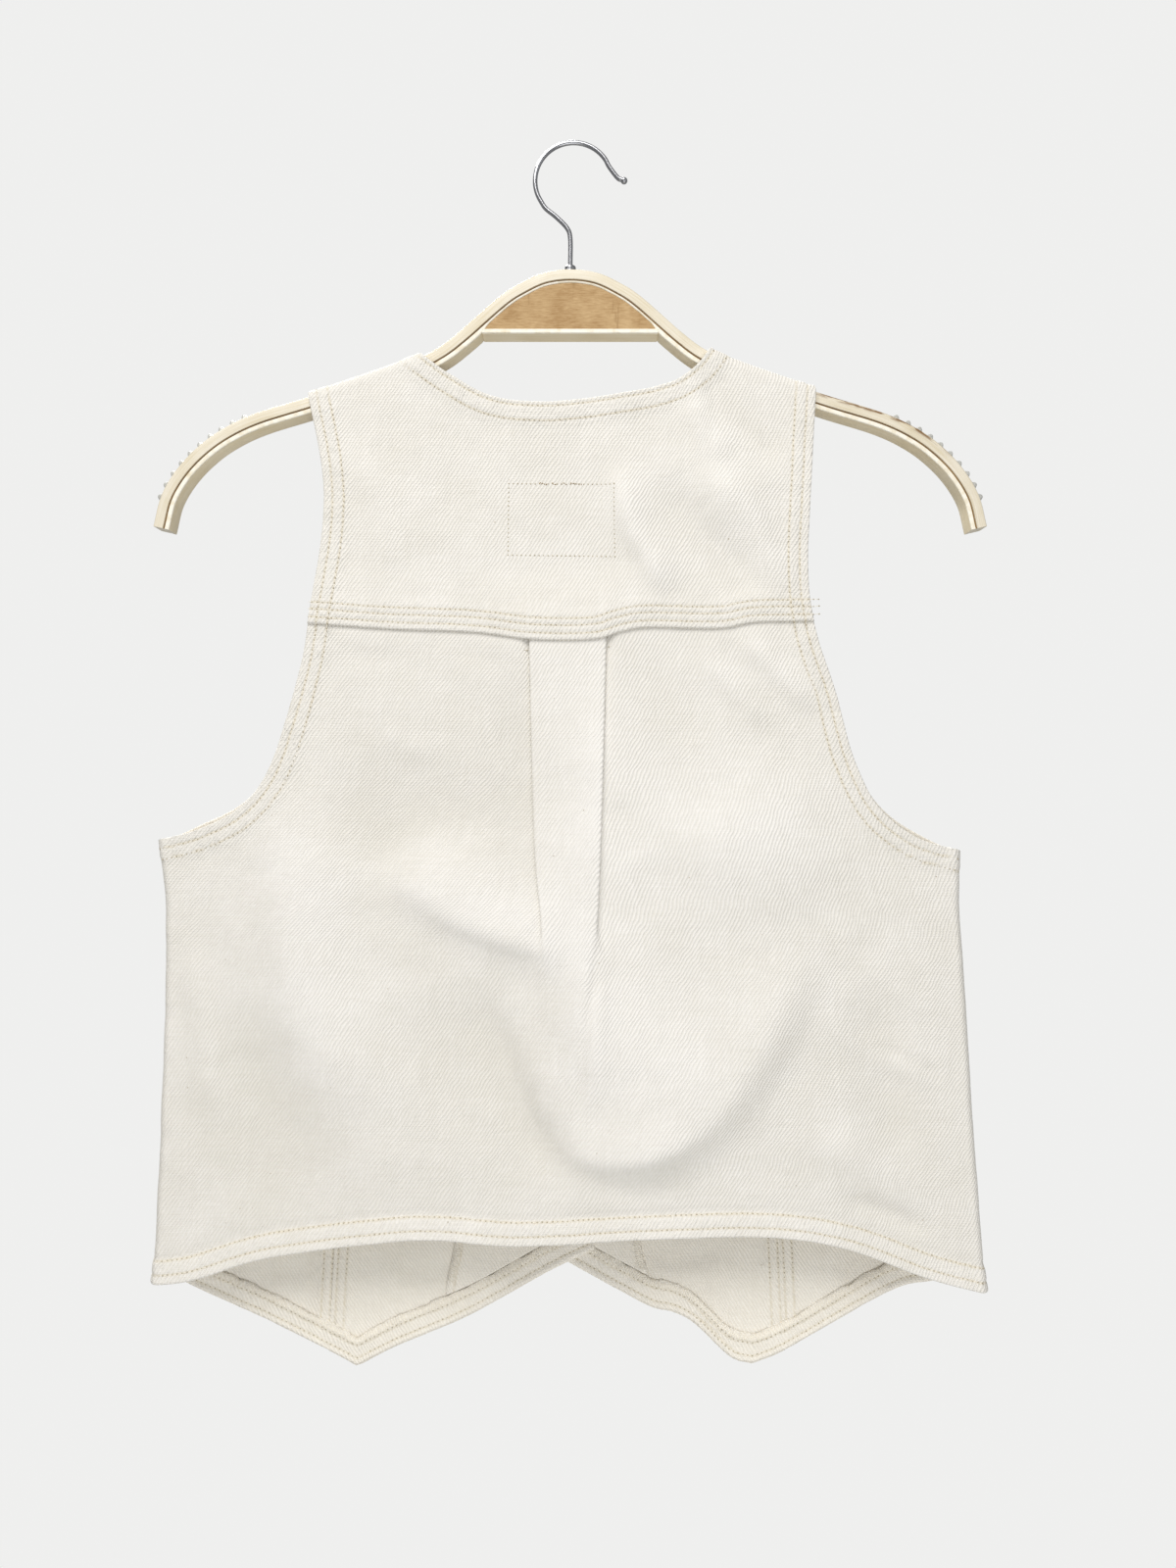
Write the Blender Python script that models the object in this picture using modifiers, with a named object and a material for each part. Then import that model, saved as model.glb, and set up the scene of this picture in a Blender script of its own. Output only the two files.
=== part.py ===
# A cream denim waistcoat hanging on a wooden hanger, modelled from its back.
# The frame: +X to the right of its back view, -Y out of its back, +Z up, and the origin where the
# hook's inner top rests on whatever holds it up. Sizes below are millimetres, and MM makes them metres.

import math

import bmesh
import bpy
import numpy as np

MM = 0.001

# Cloth
WALL = 1.2  # thickness of one layer of denim
LAYER = 1.6  # from the middle of one layer to the middle of the next, with the gap between them
SEAM = 0.2  # each side of a seam stays this far from its line
BAND_HEIGHT = 10.0  # the yoke's lower band, which laps over the back panel
EDGE_DEPTH = 8.0  # from the hanger's plane to the cloth beside the arms and near the side seams
SHOULDER_LIFT = 2.4  # from the board's top to the middle of the cloth over it
SHOULDER_ROUND = 6.0
SHOULDER_SLOPE = 0.94  # the cosine of the shoulders' slope
SIDE_ROUND = 8.0
ARMHOLE_STEP = 3.0  # how far the fronts' armhole edges show past the back's under the arm
ARMHOLE_STEP_RISE = 0.8  # and how far up for each millimetre out
ARMHOLE_STEP_TOP = -200.0  # the step grows from here down
ARMHOLE_STEP_GROWTH = 70.0
ARMHOLE_STEP_END = 25.0  # and shrinks to nothing over this distance from the side seam
YOKE_OVER_PLEAT = ((-48.0, -30.0), (28.0, 46.0))  # where the yoke's band climbs over the pleat, as x

# Box pleat
PLEAT_TURN = 0.8  # radius of each half turn, at the middle of the cloth
PLEAT_SIDE = 14.0  # the pleat's columns start this far out from its visible edge
PLEAT_INSIDE = 5.0  # and end this far in on the strip

# Fronts
NECKLINE_FOOT = -286.0  # where each front's neckline meets its closing edge
NECKLINE_SHARE = 0.36  # the share of a centre front's rows that lie above that place
CLOSING_LEFT = 12.5
CLOSING_RIGHT = -9.0
CLOSING_MIDDLE = 1.7
OVERLAP_START = 16.0  # the right front lies out over the left one up to here
OVERLAP_END = 74.0
HEM_FACING_HEIGHT = 16.0
FACING_INSET = 1.5  # how far a facing stays inside the edge that it backs
FACING_SIDE = 10.0  # the hem facings end this far from the side seams

# Buttons
BUTTON_TOP = -305.0
BUTTON_PITCH = 64.0
BUTTON_COUNT = 5
BUTTON_STEPS = 16

# Hanger
BOARD_DEPTH = 12.5
BOARD_EDGE = 0.8  # rounding of the board's edges
BOARD_STEPS = 58
ARM_HEIGHT = 8.4
BAR_TOP = -97.8
BAR_FOOT = -100.3
CREST_BORDER = 8.2  # from the board's top to the inlaid panel's opening
INLAY_GAP = 0.3
INLAY_RECESS = 0.4
WIRE = 1.2  # radius of the hook's wire
HOOK_RING = 20.0  # radius of the hook's bend, at the middle of the wire
HOOK_RING_X = 1.7
STEM_HOLE = 1.6
STEM_SEAT = -73.2
GRIP_START = 162.0  # the grips run between these distances from the middle
GRIP_END = 212.5
GRIP_WIDTH = 6.0
GRIP_DEPTH = 1.0
GROOVE_GAP = 0.3
TEETH = 10
TOOTH_HEIGHT = 2.6
TOOTH_POINTS = 3  # points along the grip's edge for each tooth
CUTTER_RISE = 4.0  # how far the grooves' cutters stand out of the board

# The board's upper edge on one side, from the middle out: x, z
BOARD_POINTS = (
    (0.0, -67.0),
    (14.0, -68.8),
    (26.0, -74.2),
    (37.0, -81.4),
    (57.5, -99.4),
    (70.0, -108.6),
    (86.0, -116.0),
    (130.0, -131.2),
    (162.0, -141.2),
    (180.0, -149.8),
    (193.0, -159.5),
    (203.5, -171.0),
    (211.0, -184.0),
    (215.0, -199.5),
)

# Edges of the back, as x, z
NECK_POINTS = (
    (-78.5, -109.7), (-62.0, -121.5), (-40.0, -133.0), (-12.0, -136.0),
    (20.0, -132.5), (50.0, -126.5), (64.5, -117.5), (72.5, -107.4),
)
ARMHOLE_LEFT = (
    (-135.0, -130.7), (-127.5, -170.0), (-127.0, -200.0), (-133.0, -242.0), (-138.5, -274.0),
    (-153.0, -322.0), (-168.0, -343.5), (-190.0, -355.5), (-212.5, -361.5),
)
ARMHOLE_RIGHT = (
    (126.5, -127.6), (124.5, -165.0), (122.0, -222.0), (126.0, -254.0), (136.0, -285.0),
    (144.5, -317.0), (157.0, -343.0), (177.0, -359.5), (201.0, -367.0),
)
SIDE_LEFT = ((-212.5, -361.5), (-209.3, -395.0), (-209.5, -450.0), (-211.5, -505.0), (-215.5, -589.0))
SIDE_RIGHT = ((201.0, -367.0), (201.3, -400.0), (204.5, -445.0), (208.0, -505.0), (214.5, -593.5))
YOKE_SEAM = (
    (-133.5, -250.5), (-90.0, -253.4), (-50.0, -255.0), (-19.0, -259.0), (12.0, -259.0),
    (26.0, -255.0), (40.0, -252.6), (76.0, -253.0), (95.0, -249.8), (126.0, -249.2),
)
BACK_HEM = (
    (-215.5, -589.0), (-192.0, -585.5), (-154.0, -573.8), (-98.0, -565.2), (-68.0, -563.2), (-24.0, -566.0),
    (40.0, -562.5), (100.0, -562.0), (139.0, -568.5), (183.0, -585.0), (214.5, -593.5),
)

# Edges of the fronts, as x, z in the same view
HEM_LEFT = (((-215.5, -589.0), (-182.0, -605.0), (-150.0, -620.0), (-112.5, -640.0)),
            ((-112.5, -640.0), (-92.0, -629.5), (-54.0, -613.5), (-12.0, -590.5), (12.5, -578.5)))
HEM_RIGHT = (((214.5, -593.5), (190.0, -594.5), (166.0, -601.0), (115.0, -630.5), (96.0, -638.6)),
             ((96.0, -638.6), (84.0, -635.0), (66.0, -618.0), (54.0, -611.8), (40.0, -608.5),
              (4.0, -589.5), (-9.0, -582.0)))
PRINCESS_LEFT = ((-137.0, -268.0), (-125.0, -380.0), (-121.0, -500.0), (-126.5, -632.5))
PRINCESS_RIGHT = ((130.2, -268.0), (115.0, -380.0), (108.5, -500.0), (113.0, -631.5))
FACING_EDGE_LEFT = ((-108.0, -119.5), (-66.0, -290.0), (-58.0, -430.0), (-60.5, -560.0), (-66.0, -598.0))
FACING_EDGE_RIGHT = ((102.0, -117.5), (46.0, -290.0), (38.0, -430.0), (36.0, -560.0), (43.0, -597.0))

# How far the middle of the cloth lies from the hanger's plane: z, behind it, in front of it
BODY = (
    (-60.0, 8.0, 10.4),
    (-150.0, 8.2, 10.4),
    (-210.0, 9.2, 10.2),
    (-260.0, 11.0, 10.0),
    (-340.0, 13.0, 10.0),
    (-430.0, 16.5, 10.2),
    (-520.0, 18.0, 10.4),
    (-575.0, 15.0, 10.0),
    (-660.0, 12.0, 9.8),
)

# The pleat's visible edges, as x, z
PLEAT_LEFT = (
    (-20.7, -240.0), (-20.3, -262.0), (-17.7, -361.0), (-13.7, -405.0), (-11.0, -470.0), (-10.0, -600.0),
)
PLEAT_RIGHT = (
    (18.2, -240.0), (18.0, -262.0), (15.2, -363.0), (12.2, -423.0), (6.0, -500.0), (2.0, -600.0),
)
# How the pleat closes: z, reach of the cloth in under the edge, share opened out, height of the step kept,
# width of the opened step
PLEAT_ROWS = (
    (-240.0, 13.0, 0.0, 1.0, 10.0),
    (-330.0, 10.0, 0.0, 1.0, 10.0),
    (-375.0, 4.0, 0.0, 1.0, 10.0),
    (-395.0, 1.9, 0.0, 1.0, 10.0),
    (-425.0, 1.9, 1.0, 1.0, 14.0),
    (-480.0, 1.9, 1.0, 0.3, 19.0),
    (-520.0, 1.9, 1.0, 0.0, 19.0),
    (-600.0, 1.9, 1.0, 0.0, 19.0),
)

# Large folds: name, path as x, z, height, width on the path's left, width on its right
BACK_FOLDS = (
    ("pouch rim", ((122, -400), (112, -434), (99, -464), (78, -494), (48, -515), (16, -519), (-12, -506)),
     6.4, 10.0, 26.0),
    ("strip's ridge", ((17, -262), (16, -330), (12, -395), (9, -450), (16, -505)), 3.6, 30.0, 13.0),
    ("valley beside the pleat", ((-25, -262), (-24, -330), (-19, -395), (-12, -425)), -1.6, 6.0, 22.0),
    ("valley beside the pouch", ((-52, -425), (-38, -465), (-20, -502), (8, -538)), -4.6, 11.0, 32.0),
    ("left cross fold", ((-104, -370), (-76, -385), (-46, -401), (8, -420)), 5.8, 28.0, 9.0),
    ("left long ridge", ((-130, -320), (-138, -380), (-139, -430), (-120, -478), (-84, -515)), 5.0, 26.0, 24.0),
    ("yoke ridge", ((22, -158), (31, -196), (52, -240)), 1.6, 11.0, 6.0),
    ("right low crease", ((124, -500), (150, -528), (198, -560)), 2.2, 14.0, 10.0),
)
# Broad swells and hollows: name, middle as x, z, height, half width, half height
BACK_SWELLS = (
    ("pouch", 46.0, -468.0, 6.2, 44.0, 40.0),
    ("low left hollow", -158.0, -505.0, -4.4, 36.0, 44.0),
    ("upper left hollow", -78.0, -352.0, -4.2, 46.0, 32.0),
    ("upper right swell", 86.0, -360.0, 5.4, 42.0, 36.0),
    ("low right hollow", 172.0, -545.0, -2.0, 28.0, 40.0),
    ("yoke swell", 80.0, -180.0, 3.0, 34.0, 28.0),
)
FRONT_FOLDS = (
    ("left front roll", ((-60, -330), (-78, -430), (-70, -540)), 2.2, 32.0, 32.0),
    ("right front roll", ((72, -340), (60, -440), (78, -550)), 2.0, 30.0, 30.0),
    ("left side drag", ((-190, -400), (-160, -470), (-150, -560)), 2.0, 20.0, 20.0),
    ("right side drag", ((178, -410), (152, -480), (160, -560)), 1.8, 20.0, 20.0),
)

# Distances from a turned edge that its curve needs
SHOULDER_STEPS = (0.0, 0.1, 0.4, 1.2, 3.0, 6.0)
SIDE_STEPS = (0.0, 0.15, 0.6, 1.6, 3.5, 8.0)
NECK_STEPS = (0.0, 0.3, 1.0, 2.2, 4.5, 9.0)


# Scene and materials


def clear_scene():
    for thing in list(bpy.data.objects):
        bpy.data.objects.remove(thing, do_unlink=True)
    for group in list(bpy.data.collections):
        bpy.data.collections.remove(group)


def make_collection(name):
    group = bpy.data.collections.new(name)
    bpy.context.scene.collection.children.link(group)
    return group


def make_material(name, colour, roughness, metallic=0.0, alpha=1.0):
    made = bpy.data.materials.new(name)
    made.use_nodes = True
    shader = made.node_tree.nodes["Principled BSDF"]
    shader.inputs["Base Color"].default_value = (*colour, 1.0)
    shader.inputs["Roughness"].default_value = roughness
    shader.inputs["Metallic"].default_value = metallic
    shader.inputs["Alpha"].default_value = alpha
    return made


# Curves in the x, z plane


def spline(points, steps=10):
    """A smooth curve through the points, as an array of dense points."""
    rows = np.array(points, float)
    rows = np.vstack([2.0 * rows[0] - rows[1], rows, 2.0 * rows[-1] - rows[-2]])
    found = []
    for number in range(1, len(rows) - 2):
        before, start, end, after = rows[number - 1 : number + 3]
        for step in range(steps):
            part = step / steps
            squared = 2.0 * before - 5.0 * start + 4.0 * end - after
            cubed = 3.0 * start - before - 3.0 * end + after
            found.append(0.5 * (2.0 * start + (end - before) * part + squared * part**2 + cubed * part**3))
    found.append(rows[-2])
    return np.array(found)


def run_of(curve):
    """The length of the curve up to each of its points."""
    steps = np.linalg.norm(np.diff(curve, axis=0), axis=1)
    return np.concatenate([[0.0], np.cumsum(steps)])


def along(curve, shares):
    """Points at these shares of the curve's length."""
    run = run_of(curve)
    wanted = np.asarray(shares) * run[-1]
    return np.stack([np.interp(wanted, run, curve[:, axis]) for axis in (0, 1)], axis=-1)


def along_two(first, second, split, shares):
    """Points along two curves that meet at the share called split."""
    shares = np.asarray(shares)
    on_first = along(first, np.minimum(shares / split, 1.0))
    on_second = along(second, np.maximum((shares - split) / (1.0 - split), 0.0))
    return np.where((shares <= split)[:, None], on_first, on_second)


def cut_heights(curve, top, foot):
    """The stretch of a falling curve from height top down to height foot, with exact ends."""
    heights = curve[::-1, 1]
    ends = [(np.interp(z, heights, curve[::-1, 0]), z) for z in (top, foot)]
    inner = (curve[:, 1] < top) & (curve[:, 1] > foot)
    return np.vstack([ends[0], curve[inner], ends[1]])


def height_at(curve, x):
    order = np.argsort(curve[:, 0])
    return np.interp(x, curve[order, 0], curve[order, 1])


def x_at(curve, z):
    order = np.argsort(curve[:, 1])
    return np.interp(z, curve[order, 1], curve[order, 0])


def offset_curve(curve, distance):
    """The curve moved to its right by this distance."""
    ahead = np.gradient(curve, axis=0)
    ahead /= np.linalg.norm(ahead, axis=1)[:, None]
    return curve + distance * np.stack([ahead[:, 1], -ahead[:, 0]], axis=-1)


def smooth_step(low, high, value):
    part = np.clip((value - low) / (high - low), 0.0, 1.0)
    return part * part * (3.0 - 2.0 * part)


BOARD_TOP = spline([(-x, z) for x, z in BOARD_POINTS[:0:-1]] + list(BOARD_POINTS), 5)
NECK = spline(NECK_POINTS)
SEAM_LINE = spline(YOKE_SEAM)
ARM_L = spline(ARMHOLE_LEFT)
ARM_R = spline(ARMHOLE_RIGHT)
SIDE_L = spline(SIDE_LEFT)
SIDE_R = spline(SIDE_RIGHT)


def shoulder_at(x):
    return height_at(BOARD_TOP, x) + SHOULDER_LIFT


# The body's form: how far out the cloth lies at any x, z


def fold_height(x, z, folds):
    """Height that the folds add at each point."""
    total = np.zeros(np.shape(x))
    for _, path, height, left_width, right_width in folds:
        curve = spline(path, 6)
        run = run_of(curve)
        nearest = np.full(np.shape(x), np.inf)
        side = np.zeros(np.shape(x))
        place = np.zeros(np.shape(x))
        for number in range(len(curve) - 1):
            start = curve[number]
            step = curve[number + 1] - start
            size = step @ step
            part = np.clip(((x - start[0]) * step[0] + (z - start[1]) * step[1]) / size, 0.0, 1.0)
            away_x = x - start[0] - part * step[0]
            away_z = z - start[1] - part * step[1]
            distance = np.hypot(away_x, away_z)
            closer = distance < nearest
            nearest = np.where(closer, distance, nearest)
            side = np.where(closer, step[0] * away_z - step[1] * away_x, side)
            place = np.where(closer, run[number] + part * math.sqrt(size), place)
        share = place / run[-1]
        ends = smooth_step(0.0, 0.3, share) * smooth_step(0.0, 0.3, 1.0 - share)
        width = np.where(side > 0.0, left_width, right_width)
        total += height * ends * np.exp(-((nearest / width) ** 2))
    return total


def swell_height(x, z, swells):
    """Height that the broad swells add at each point, below 0 in a hollow."""
    total = np.zeros(np.shape(x))
    for _, middle_x, middle_z, height, half_width, half_height in swells:
        total += height * np.exp(-(((x - middle_x) / half_width) ** 2) - ((z - middle_z) / half_height) ** 2)
    return total


def rounding(distance, radius, power):
    """From 0 at a turned edge to 1 at its radius: the cloth's turn round that edge."""
    part = np.clip(1.0 - distance / radius, 0.0, 1.0)
    return (1.0 - part**power) ** (1.0 / power)


def turned(x, z):
    """How far each point is round the shoulder's edge and the side seams' edges, from 0 to 1."""
    below_shoulder = (shoulder_at(x) - z) * SHOULDER_SLOPE
    from_side = np.minimum(x - x_at(SIDE_L, z), x_at(SIDE_R, z) - x)
    return rounding(below_shoulder, SHOULDER_ROUND, 3.0) * rounding(from_side, SIDE_ROUND, 2.0)


def body_depth(x, z, index, folds, swells=()):
    left = x_at(SIDE_L, z)
    right = x_at(SIDE_R, z)
    across = np.clip((2.0 * x - left - right) / (right - left), -1.0, 1.0)
    heights = [row[0] for row in BODY[::-1]]
    centre = np.interp(z, heights, [row[index] for row in BODY[::-1]])
    flat = EDGE_DEPTH + (centre - EDGE_DEPTH) * (1.0 - across**2)
    raised = fold_height(x, z, folds) + swell_height(x, z, swells)
    creased = flat + raised * smooth_step(0.0, 0.3, 1.0 - np.abs(across))
    return np.maximum(creased, EDGE_DEPTH - 0.2)


def back_y(x, z, lift=0.0):
    depth = body_depth(x, z, 1, BACK_FOLDS, BACK_SWELLS) + lift
    return -(SEAM + (depth - SEAM) * turned(x, z))


def front_y(x, z, lift=0.0):
    depth = body_depth(x, z, 2, FRONT_FOLDS) + lift
    return SEAM + (depth - SEAM) * turned(x, z)


def right_front_lift(x):
    """The right front lies outside the left one, with its own facing between them."""
    return 2.0 * LAYER * (1.0 - smooth_step(OVERLAP_START, OVERLAP_END, x))


# Cloth pieces


def patch(head, foot, near, far, across, down):
    """Points between four edges: head and foot have one for each value of across, near and far for down."""
    u = np.asarray(across)[None, :, None]
    v = np.asarray(down)[:, None, None]
    ruled = (1.0 - v) * head[None] + v * foot[None] + (1.0 - u) * near[:, None] + u * far[:, None]
    corners = (1.0 - v) * ((1.0 - u) * head[0] + u * head[-1]) + v * ((1.0 - u) * foot[0] + u * foot[-1])
    return ruled - corners


def cloth_wall(name, flat, depth, material, group):
    """One layer of cloth: a grid over the flat shape, at its depths, half its thickness to each side."""
    tall, wide = flat.shape[:2]
    bpy.ops.mesh.primitive_grid_add(x_subdivisions=wide - 1, y_subdivisions=tall - 1, size=1.0)
    made = bpy.context.active_object
    made.name = made.data.name = name
    points = np.stack([flat[..., 0], depth, flat[..., 1]], axis=-1) * MM
    made.data.vertices.foreach_set("co", points.astype(np.float32).ravel())
    made.data.materials.append(material)
    made.data.shade_smooth()
    for owner in list(made.users_collection):
        owner.objects.unlink(made)
    group.objects.link(made)
    wall = made.modifiers.new("wall", "SOLIDIFY")
    wall.thickness = WALL * MM
    wall.offset = 0.0
    return made


def make_yoke(group, denim):
    left = cut_heights(ARM_L, ARM_L[0][1], height_at(SEAM_LINE, ARMHOLE_LEFT[3][0]))
    right = cut_heights(ARM_R, ARM_R[0][1], height_at(SEAM_LINE, ARMHOLE_RIGHT[3][0]))
    shoulder_left = [(x, shoulder_at(x)) for x in np.linspace(left[0][0], NECK[0][0], 8)]
    shoulder_right = [(x, shoulder_at(x)) for x in np.linspace(NECK[-1][0], right[0][0], 8)]
    top = np.vstack([shoulder_left, NECK[1:-1], shoulder_right])
    seam = SEAM_LINE.copy()
    seam[0] = left[-1]
    seam[-1] = right[-1]
    run = run_of(top)
    neck_start = run[7] / run[-1]
    neck_end = run[-8] / run[-1]
    from_neck = np.array(NECK_STEPS) / run[-1]
    across = np.concatenate([
        np.linspace(0.0, neck_start, 5)[:-1],
        neck_start + from_neck,
        np.linspace(neck_start + from_neck[-1], neck_end - from_neck[-1], 10)[1:-1],
        neck_end - from_neck[::-1],
        np.linspace(neck_end, 1.0, 5)[1:],
    ])
    tall = left[0][1] - left[-1][1]
    down = np.concatenate([np.array(SHOULDER_STEPS) / tall, np.linspace(0.14, 0.8, 6), [0.86, 0.91, 1.0]])
    flat = patch(along(top, across), along(seam, across), along(left, down), along(right, down), across, down)
    x = flat[..., 0]
    z = flat[..., 1]
    above_seam = z - height_at(SEAM_LINE, x)
    band = 1.0 - smooth_step(BAND_HEIGHT, BAND_HEIGHT + 12.0, above_seam)
    climb, fall = YOKE_OVER_PLEAT
    over_pleat = smooth_step(climb[0], climb[1], x) * (1.0 - smooth_step(fall[0], fall[1], x))
    lift = band * LAYER * (1.0 + 2.0 * over_pleat)
    cloth_wall("back_yoke", flat, back_y(x, z, lift), denim, group)


def pleat_columns(z):
    """Across one pleat edge, from the side panel to the strip: how far out from the edge, and how high."""
    heights = [row[0] for row in PLEAT_ROWS[::-1]]
    reach, opened, kept, width = (
        np.interp(z, heights, [row[index] for row in PLEAT_ROWS[::-1]]) for index in (1, 2, 3, 4)
    )
    folded = [(PLEAT_SIDE, 0.0), (PLEAT_INSIDE, 0.0), (PLEAT_TURN - reach + 0.4, 0.0)]
    for middle, way, foot in ((PLEAT_TURN - reach, -1.0, 0.0), (-PLEAT_TURN, 1.0, 2.0 * PLEAT_TURN)):
        for angle in (0.0, 60.0, 120.0, 180.0):
            bend = math.radians(angle)
            rise = foot + PLEAT_TURN * (1.0 - math.cos(bend))
            folded.append((middle + way * PLEAT_TURN * math.sin(bend), rise))
    folded.append((-PLEAT_INSIDE, 4.0 * PLEAT_TURN))
    folded = np.array(folded)
    whole = PLEAT_SIDE + PLEAT_INSIDE
    out = np.linspace(PLEAT_SIDE, -PLEAT_INSIDE, len(folded))
    centre = 0.5 * (PLEAT_SIDE - PLEAT_INSIDE)
    half = 0.5 * min(width, whole)
    rise = 4.0 * PLEAT_TURN * (1.0 - smooth_step(centre - half, centre + half, out))
    open_step = np.stack([out, rise], axis=-1)
    mixed = folded * (1.0 - opened) + open_step * opened
    return mixed[:, 0], mixed[:, 1] * kept


def side_columns(edge, inner, count):
    """Places from a side edge in to the pleat: the turned edge's own steps, then evenly."""
    way = 1.0 if inner > edge else -1.0
    turned_part = edge + way * np.array(SIDE_STEPS)
    return np.concatenate([turned_part, np.linspace(turned_part[-1], inner, count + 1)[1:-1]])


def make_back_panel(group, denim):
    top = SEAM_LINE + np.array([0.0, BAND_HEIGHT - 1.0])
    arm_left = cut_heights(ARM_L, top[0][1], ARM_L[-1][1])
    arm_right = cut_heights(ARM_R, top[-1][1], ARM_R[-1][1])
    top[0] = arm_left[0]
    top[-1] = arm_right[0]
    armpit = 0.4
    near_armpit = armpit * (1.0 - np.array([9.0, 3.5, 1.0]) / run_of(arm_left)[-1])
    above_armpit = np.linspace(0.0, near_armpit[0], 11)[:-1]
    down = np.concatenate([above_armpit, near_armpit, np.linspace(armpit, 1.0, 14)])
    across = np.linspace(0.0, 1.0, 60)
    rows = patch(
        along(top, across), along(spline(BACK_HEM), across),
        along_two(arm_left, SIDE_L, armpit, down), along_two(arm_right, SIDE_R, armpit, down),
        across, down,
    )
    fold_left = spline(PLEAT_LEFT)
    fold_right = spline(PLEAT_RIGHT)
    flat = []
    lifts = []
    for row in rows:
        middle_height = height_at(row, 0.0)
        out, rise = pleat_columns(middle_height)
        edge_left = x_at(fold_left, middle_height)
        edge_right = x_at(fold_right, middle_height)
        left = side_columns(row[0][0], edge_left - PLEAT_SIDE, 9)
        right = side_columns(row[-1][0], edge_right + PLEAT_SIDE, 9)[::-1]
        strip = np.linspace(edge_left + PLEAT_INSIDE, edge_right - PLEAT_INSIDE, 5)[1:-1]
        x = np.concatenate([left, edge_left - out, strip, edge_right + out[::-1], right])
        strip_rise = np.full(len(strip), rise[-1])
        flat.append(np.stack([x, height_at(row, x)], axis=-1))
        plain_left, plain_right = np.zeros(len(left)), np.zeros(len(right))
        lifts.append(np.concatenate([plain_left, rise, strip_rise, rise[::-1], plain_right]))
    flat = np.array(flat)
    cloth_wall("back_panel", flat, back_y(flat[..., 0], flat[..., 1], np.array(lifts)), denim, group)


def front_armhole(armhole, way):
    """The back's armhole, moved out under the arm, so that the front's edge shows past it."""
    below = ARMHOLE_STEP_TOP - armhole[:, 1]
    from_corner = np.linalg.norm(armhole - armhole[-1], axis=1)
    share = smooth_step(0.0, ARMHOLE_STEP_GROWTH, below) * smooth_step(0.0, ARMHOLE_STEP_END, from_corner)
    return armhole + ARMHOLE_STEP * share[:, None] * np.array([way, ARMHOLE_STEP_RISE])


def front_edges(side):
    """The edges of one side's front: way is the X direction of its side seam."""
    left = side == "left"
    way = -1.0 if left else 1.0
    armhole = front_armhole(ARM_L if left else ARM_R, way)
    princess = spline(PRINCESS_LEFT if left else PRINCESS_RIGHT)
    outer_hem, inner_hem = (spline(points) for points in (HEM_LEFT if left else HEM_RIGHT))
    hem = np.vstack([outer_hem, inner_hem[1:]])
    upper_arm = cut_heights(armhole, armhole[0][1], princess[0][1])
    princess[0] = upper_arm[-1]
    neck_x = NECK[0][0] if left else NECK[-1][0]
    neck_point = np.array([neck_x, shoulder_at(neck_x)])
    neckline_foot = np.array([CLOSING_LEFT if left else CLOSING_RIGHT, NECKLINE_FOOT])
    neckline_middle = 0.5 * (neck_point + neckline_foot) + np.array([-5.0 * way, -6.0])
    return {
        "way": way,
        "upper_arm": upper_arm,
        "under_arm": cut_heights(armhole, princess[0][1], armhole[-1][1]),
        "side_seam": SIDE_L if left else SIDE_R,
        "princess": princess,
        "hem": hem,
        "hem_split": np.argmin(np.linalg.norm(hem - princess[-1], axis=1)),
        "neckline": spline([neck_point, neckline_middle, neckline_foot]),
        "facing_edge": spline(FACING_EDGE_LEFT if left else FACING_EDGE_RIGHT),
    }


def front_lift(side, x):
    return np.zeros(np.shape(x)) if side == "left" else right_front_lift(x)


def make_side_front(side, edges, group, denim):
    """From the side seam in to the princess seam."""
    princess = edges["princess"]
    side_width = abs(princess[-1][0] - edges["side_seam"][-1][0])
    across = np.concatenate([np.array(SIDE_STEPS) / side_width, [0.25, 0.45, 0.65, 0.85, 1.0]])
    down = np.linspace(0.0, 1.0, 12)
    inner_edge = princess + np.array([SEAM * edges["way"], 0.0])
    top = edges["under_arm"][::-1].copy()
    top[-1] = inner_edge[0]
    foot = np.vstack([edges["hem"][:edges["hem_split"]], inner_edge[-1]])
    flat = patch(
        along(top, across), along(foot, across), along(edges["side_seam"], down), along(inner_edge, down),
        across, down,
    )
    cloth_wall("side_front_" + side, flat, front_y(flat[..., 0], flat[..., 1]), denim, group)


def make_centre_front(side, edges, group, denim):
    """From the armhole and the princess seam in to the neckline and the closing edge."""
    neckline = edges["neckline"]
    closing_edge = np.array([neckline[-1], edges["hem"][-1]])
    outer_edge = edges["princess"] - np.array([SEAM * edges["way"], 0.0])
    upper = edges["upper_arm"].copy()
    upper[-1] = outer_edge[0]
    shoulder = np.array([(x, shoulder_at(x)) for x in np.linspace(upper[0][0], neckline[0][0], 8)])
    foot = np.vstack([outer_edge[-1], edges["hem"][edges["hem_split"]:]])
    from_closing = np.linspace(0.0, 44.0, 5) / abs(foot[-1][0] - foot[0][0])
    across = np.concatenate([np.linspace(0.0, 1.0 - from_closing[-1], 6)[:-1], 1.0 - from_closing[::-1]])
    down = np.concatenate([
        np.array(SHOULDER_STEPS) / run_of(upper)[-1] * NECKLINE_SHARE,
        np.linspace(0.06, NECKLINE_SHARE, 5),
        np.linspace(NECKLINE_SHARE, 1.0, 11)[1:],
    ])
    flat = patch(along(shoulder, across), along(foot, across),
                 along_two(upper, outer_edge, NECKLINE_SHARE, down),
                 along_two(neckline, closing_edge, NECKLINE_SHARE, down), across, down)
    x = flat[..., 0]
    cloth_wall("centre_front_" + side, flat, front_y(x, flat[..., 1], front_lift(side, x)), denim, group)


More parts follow.
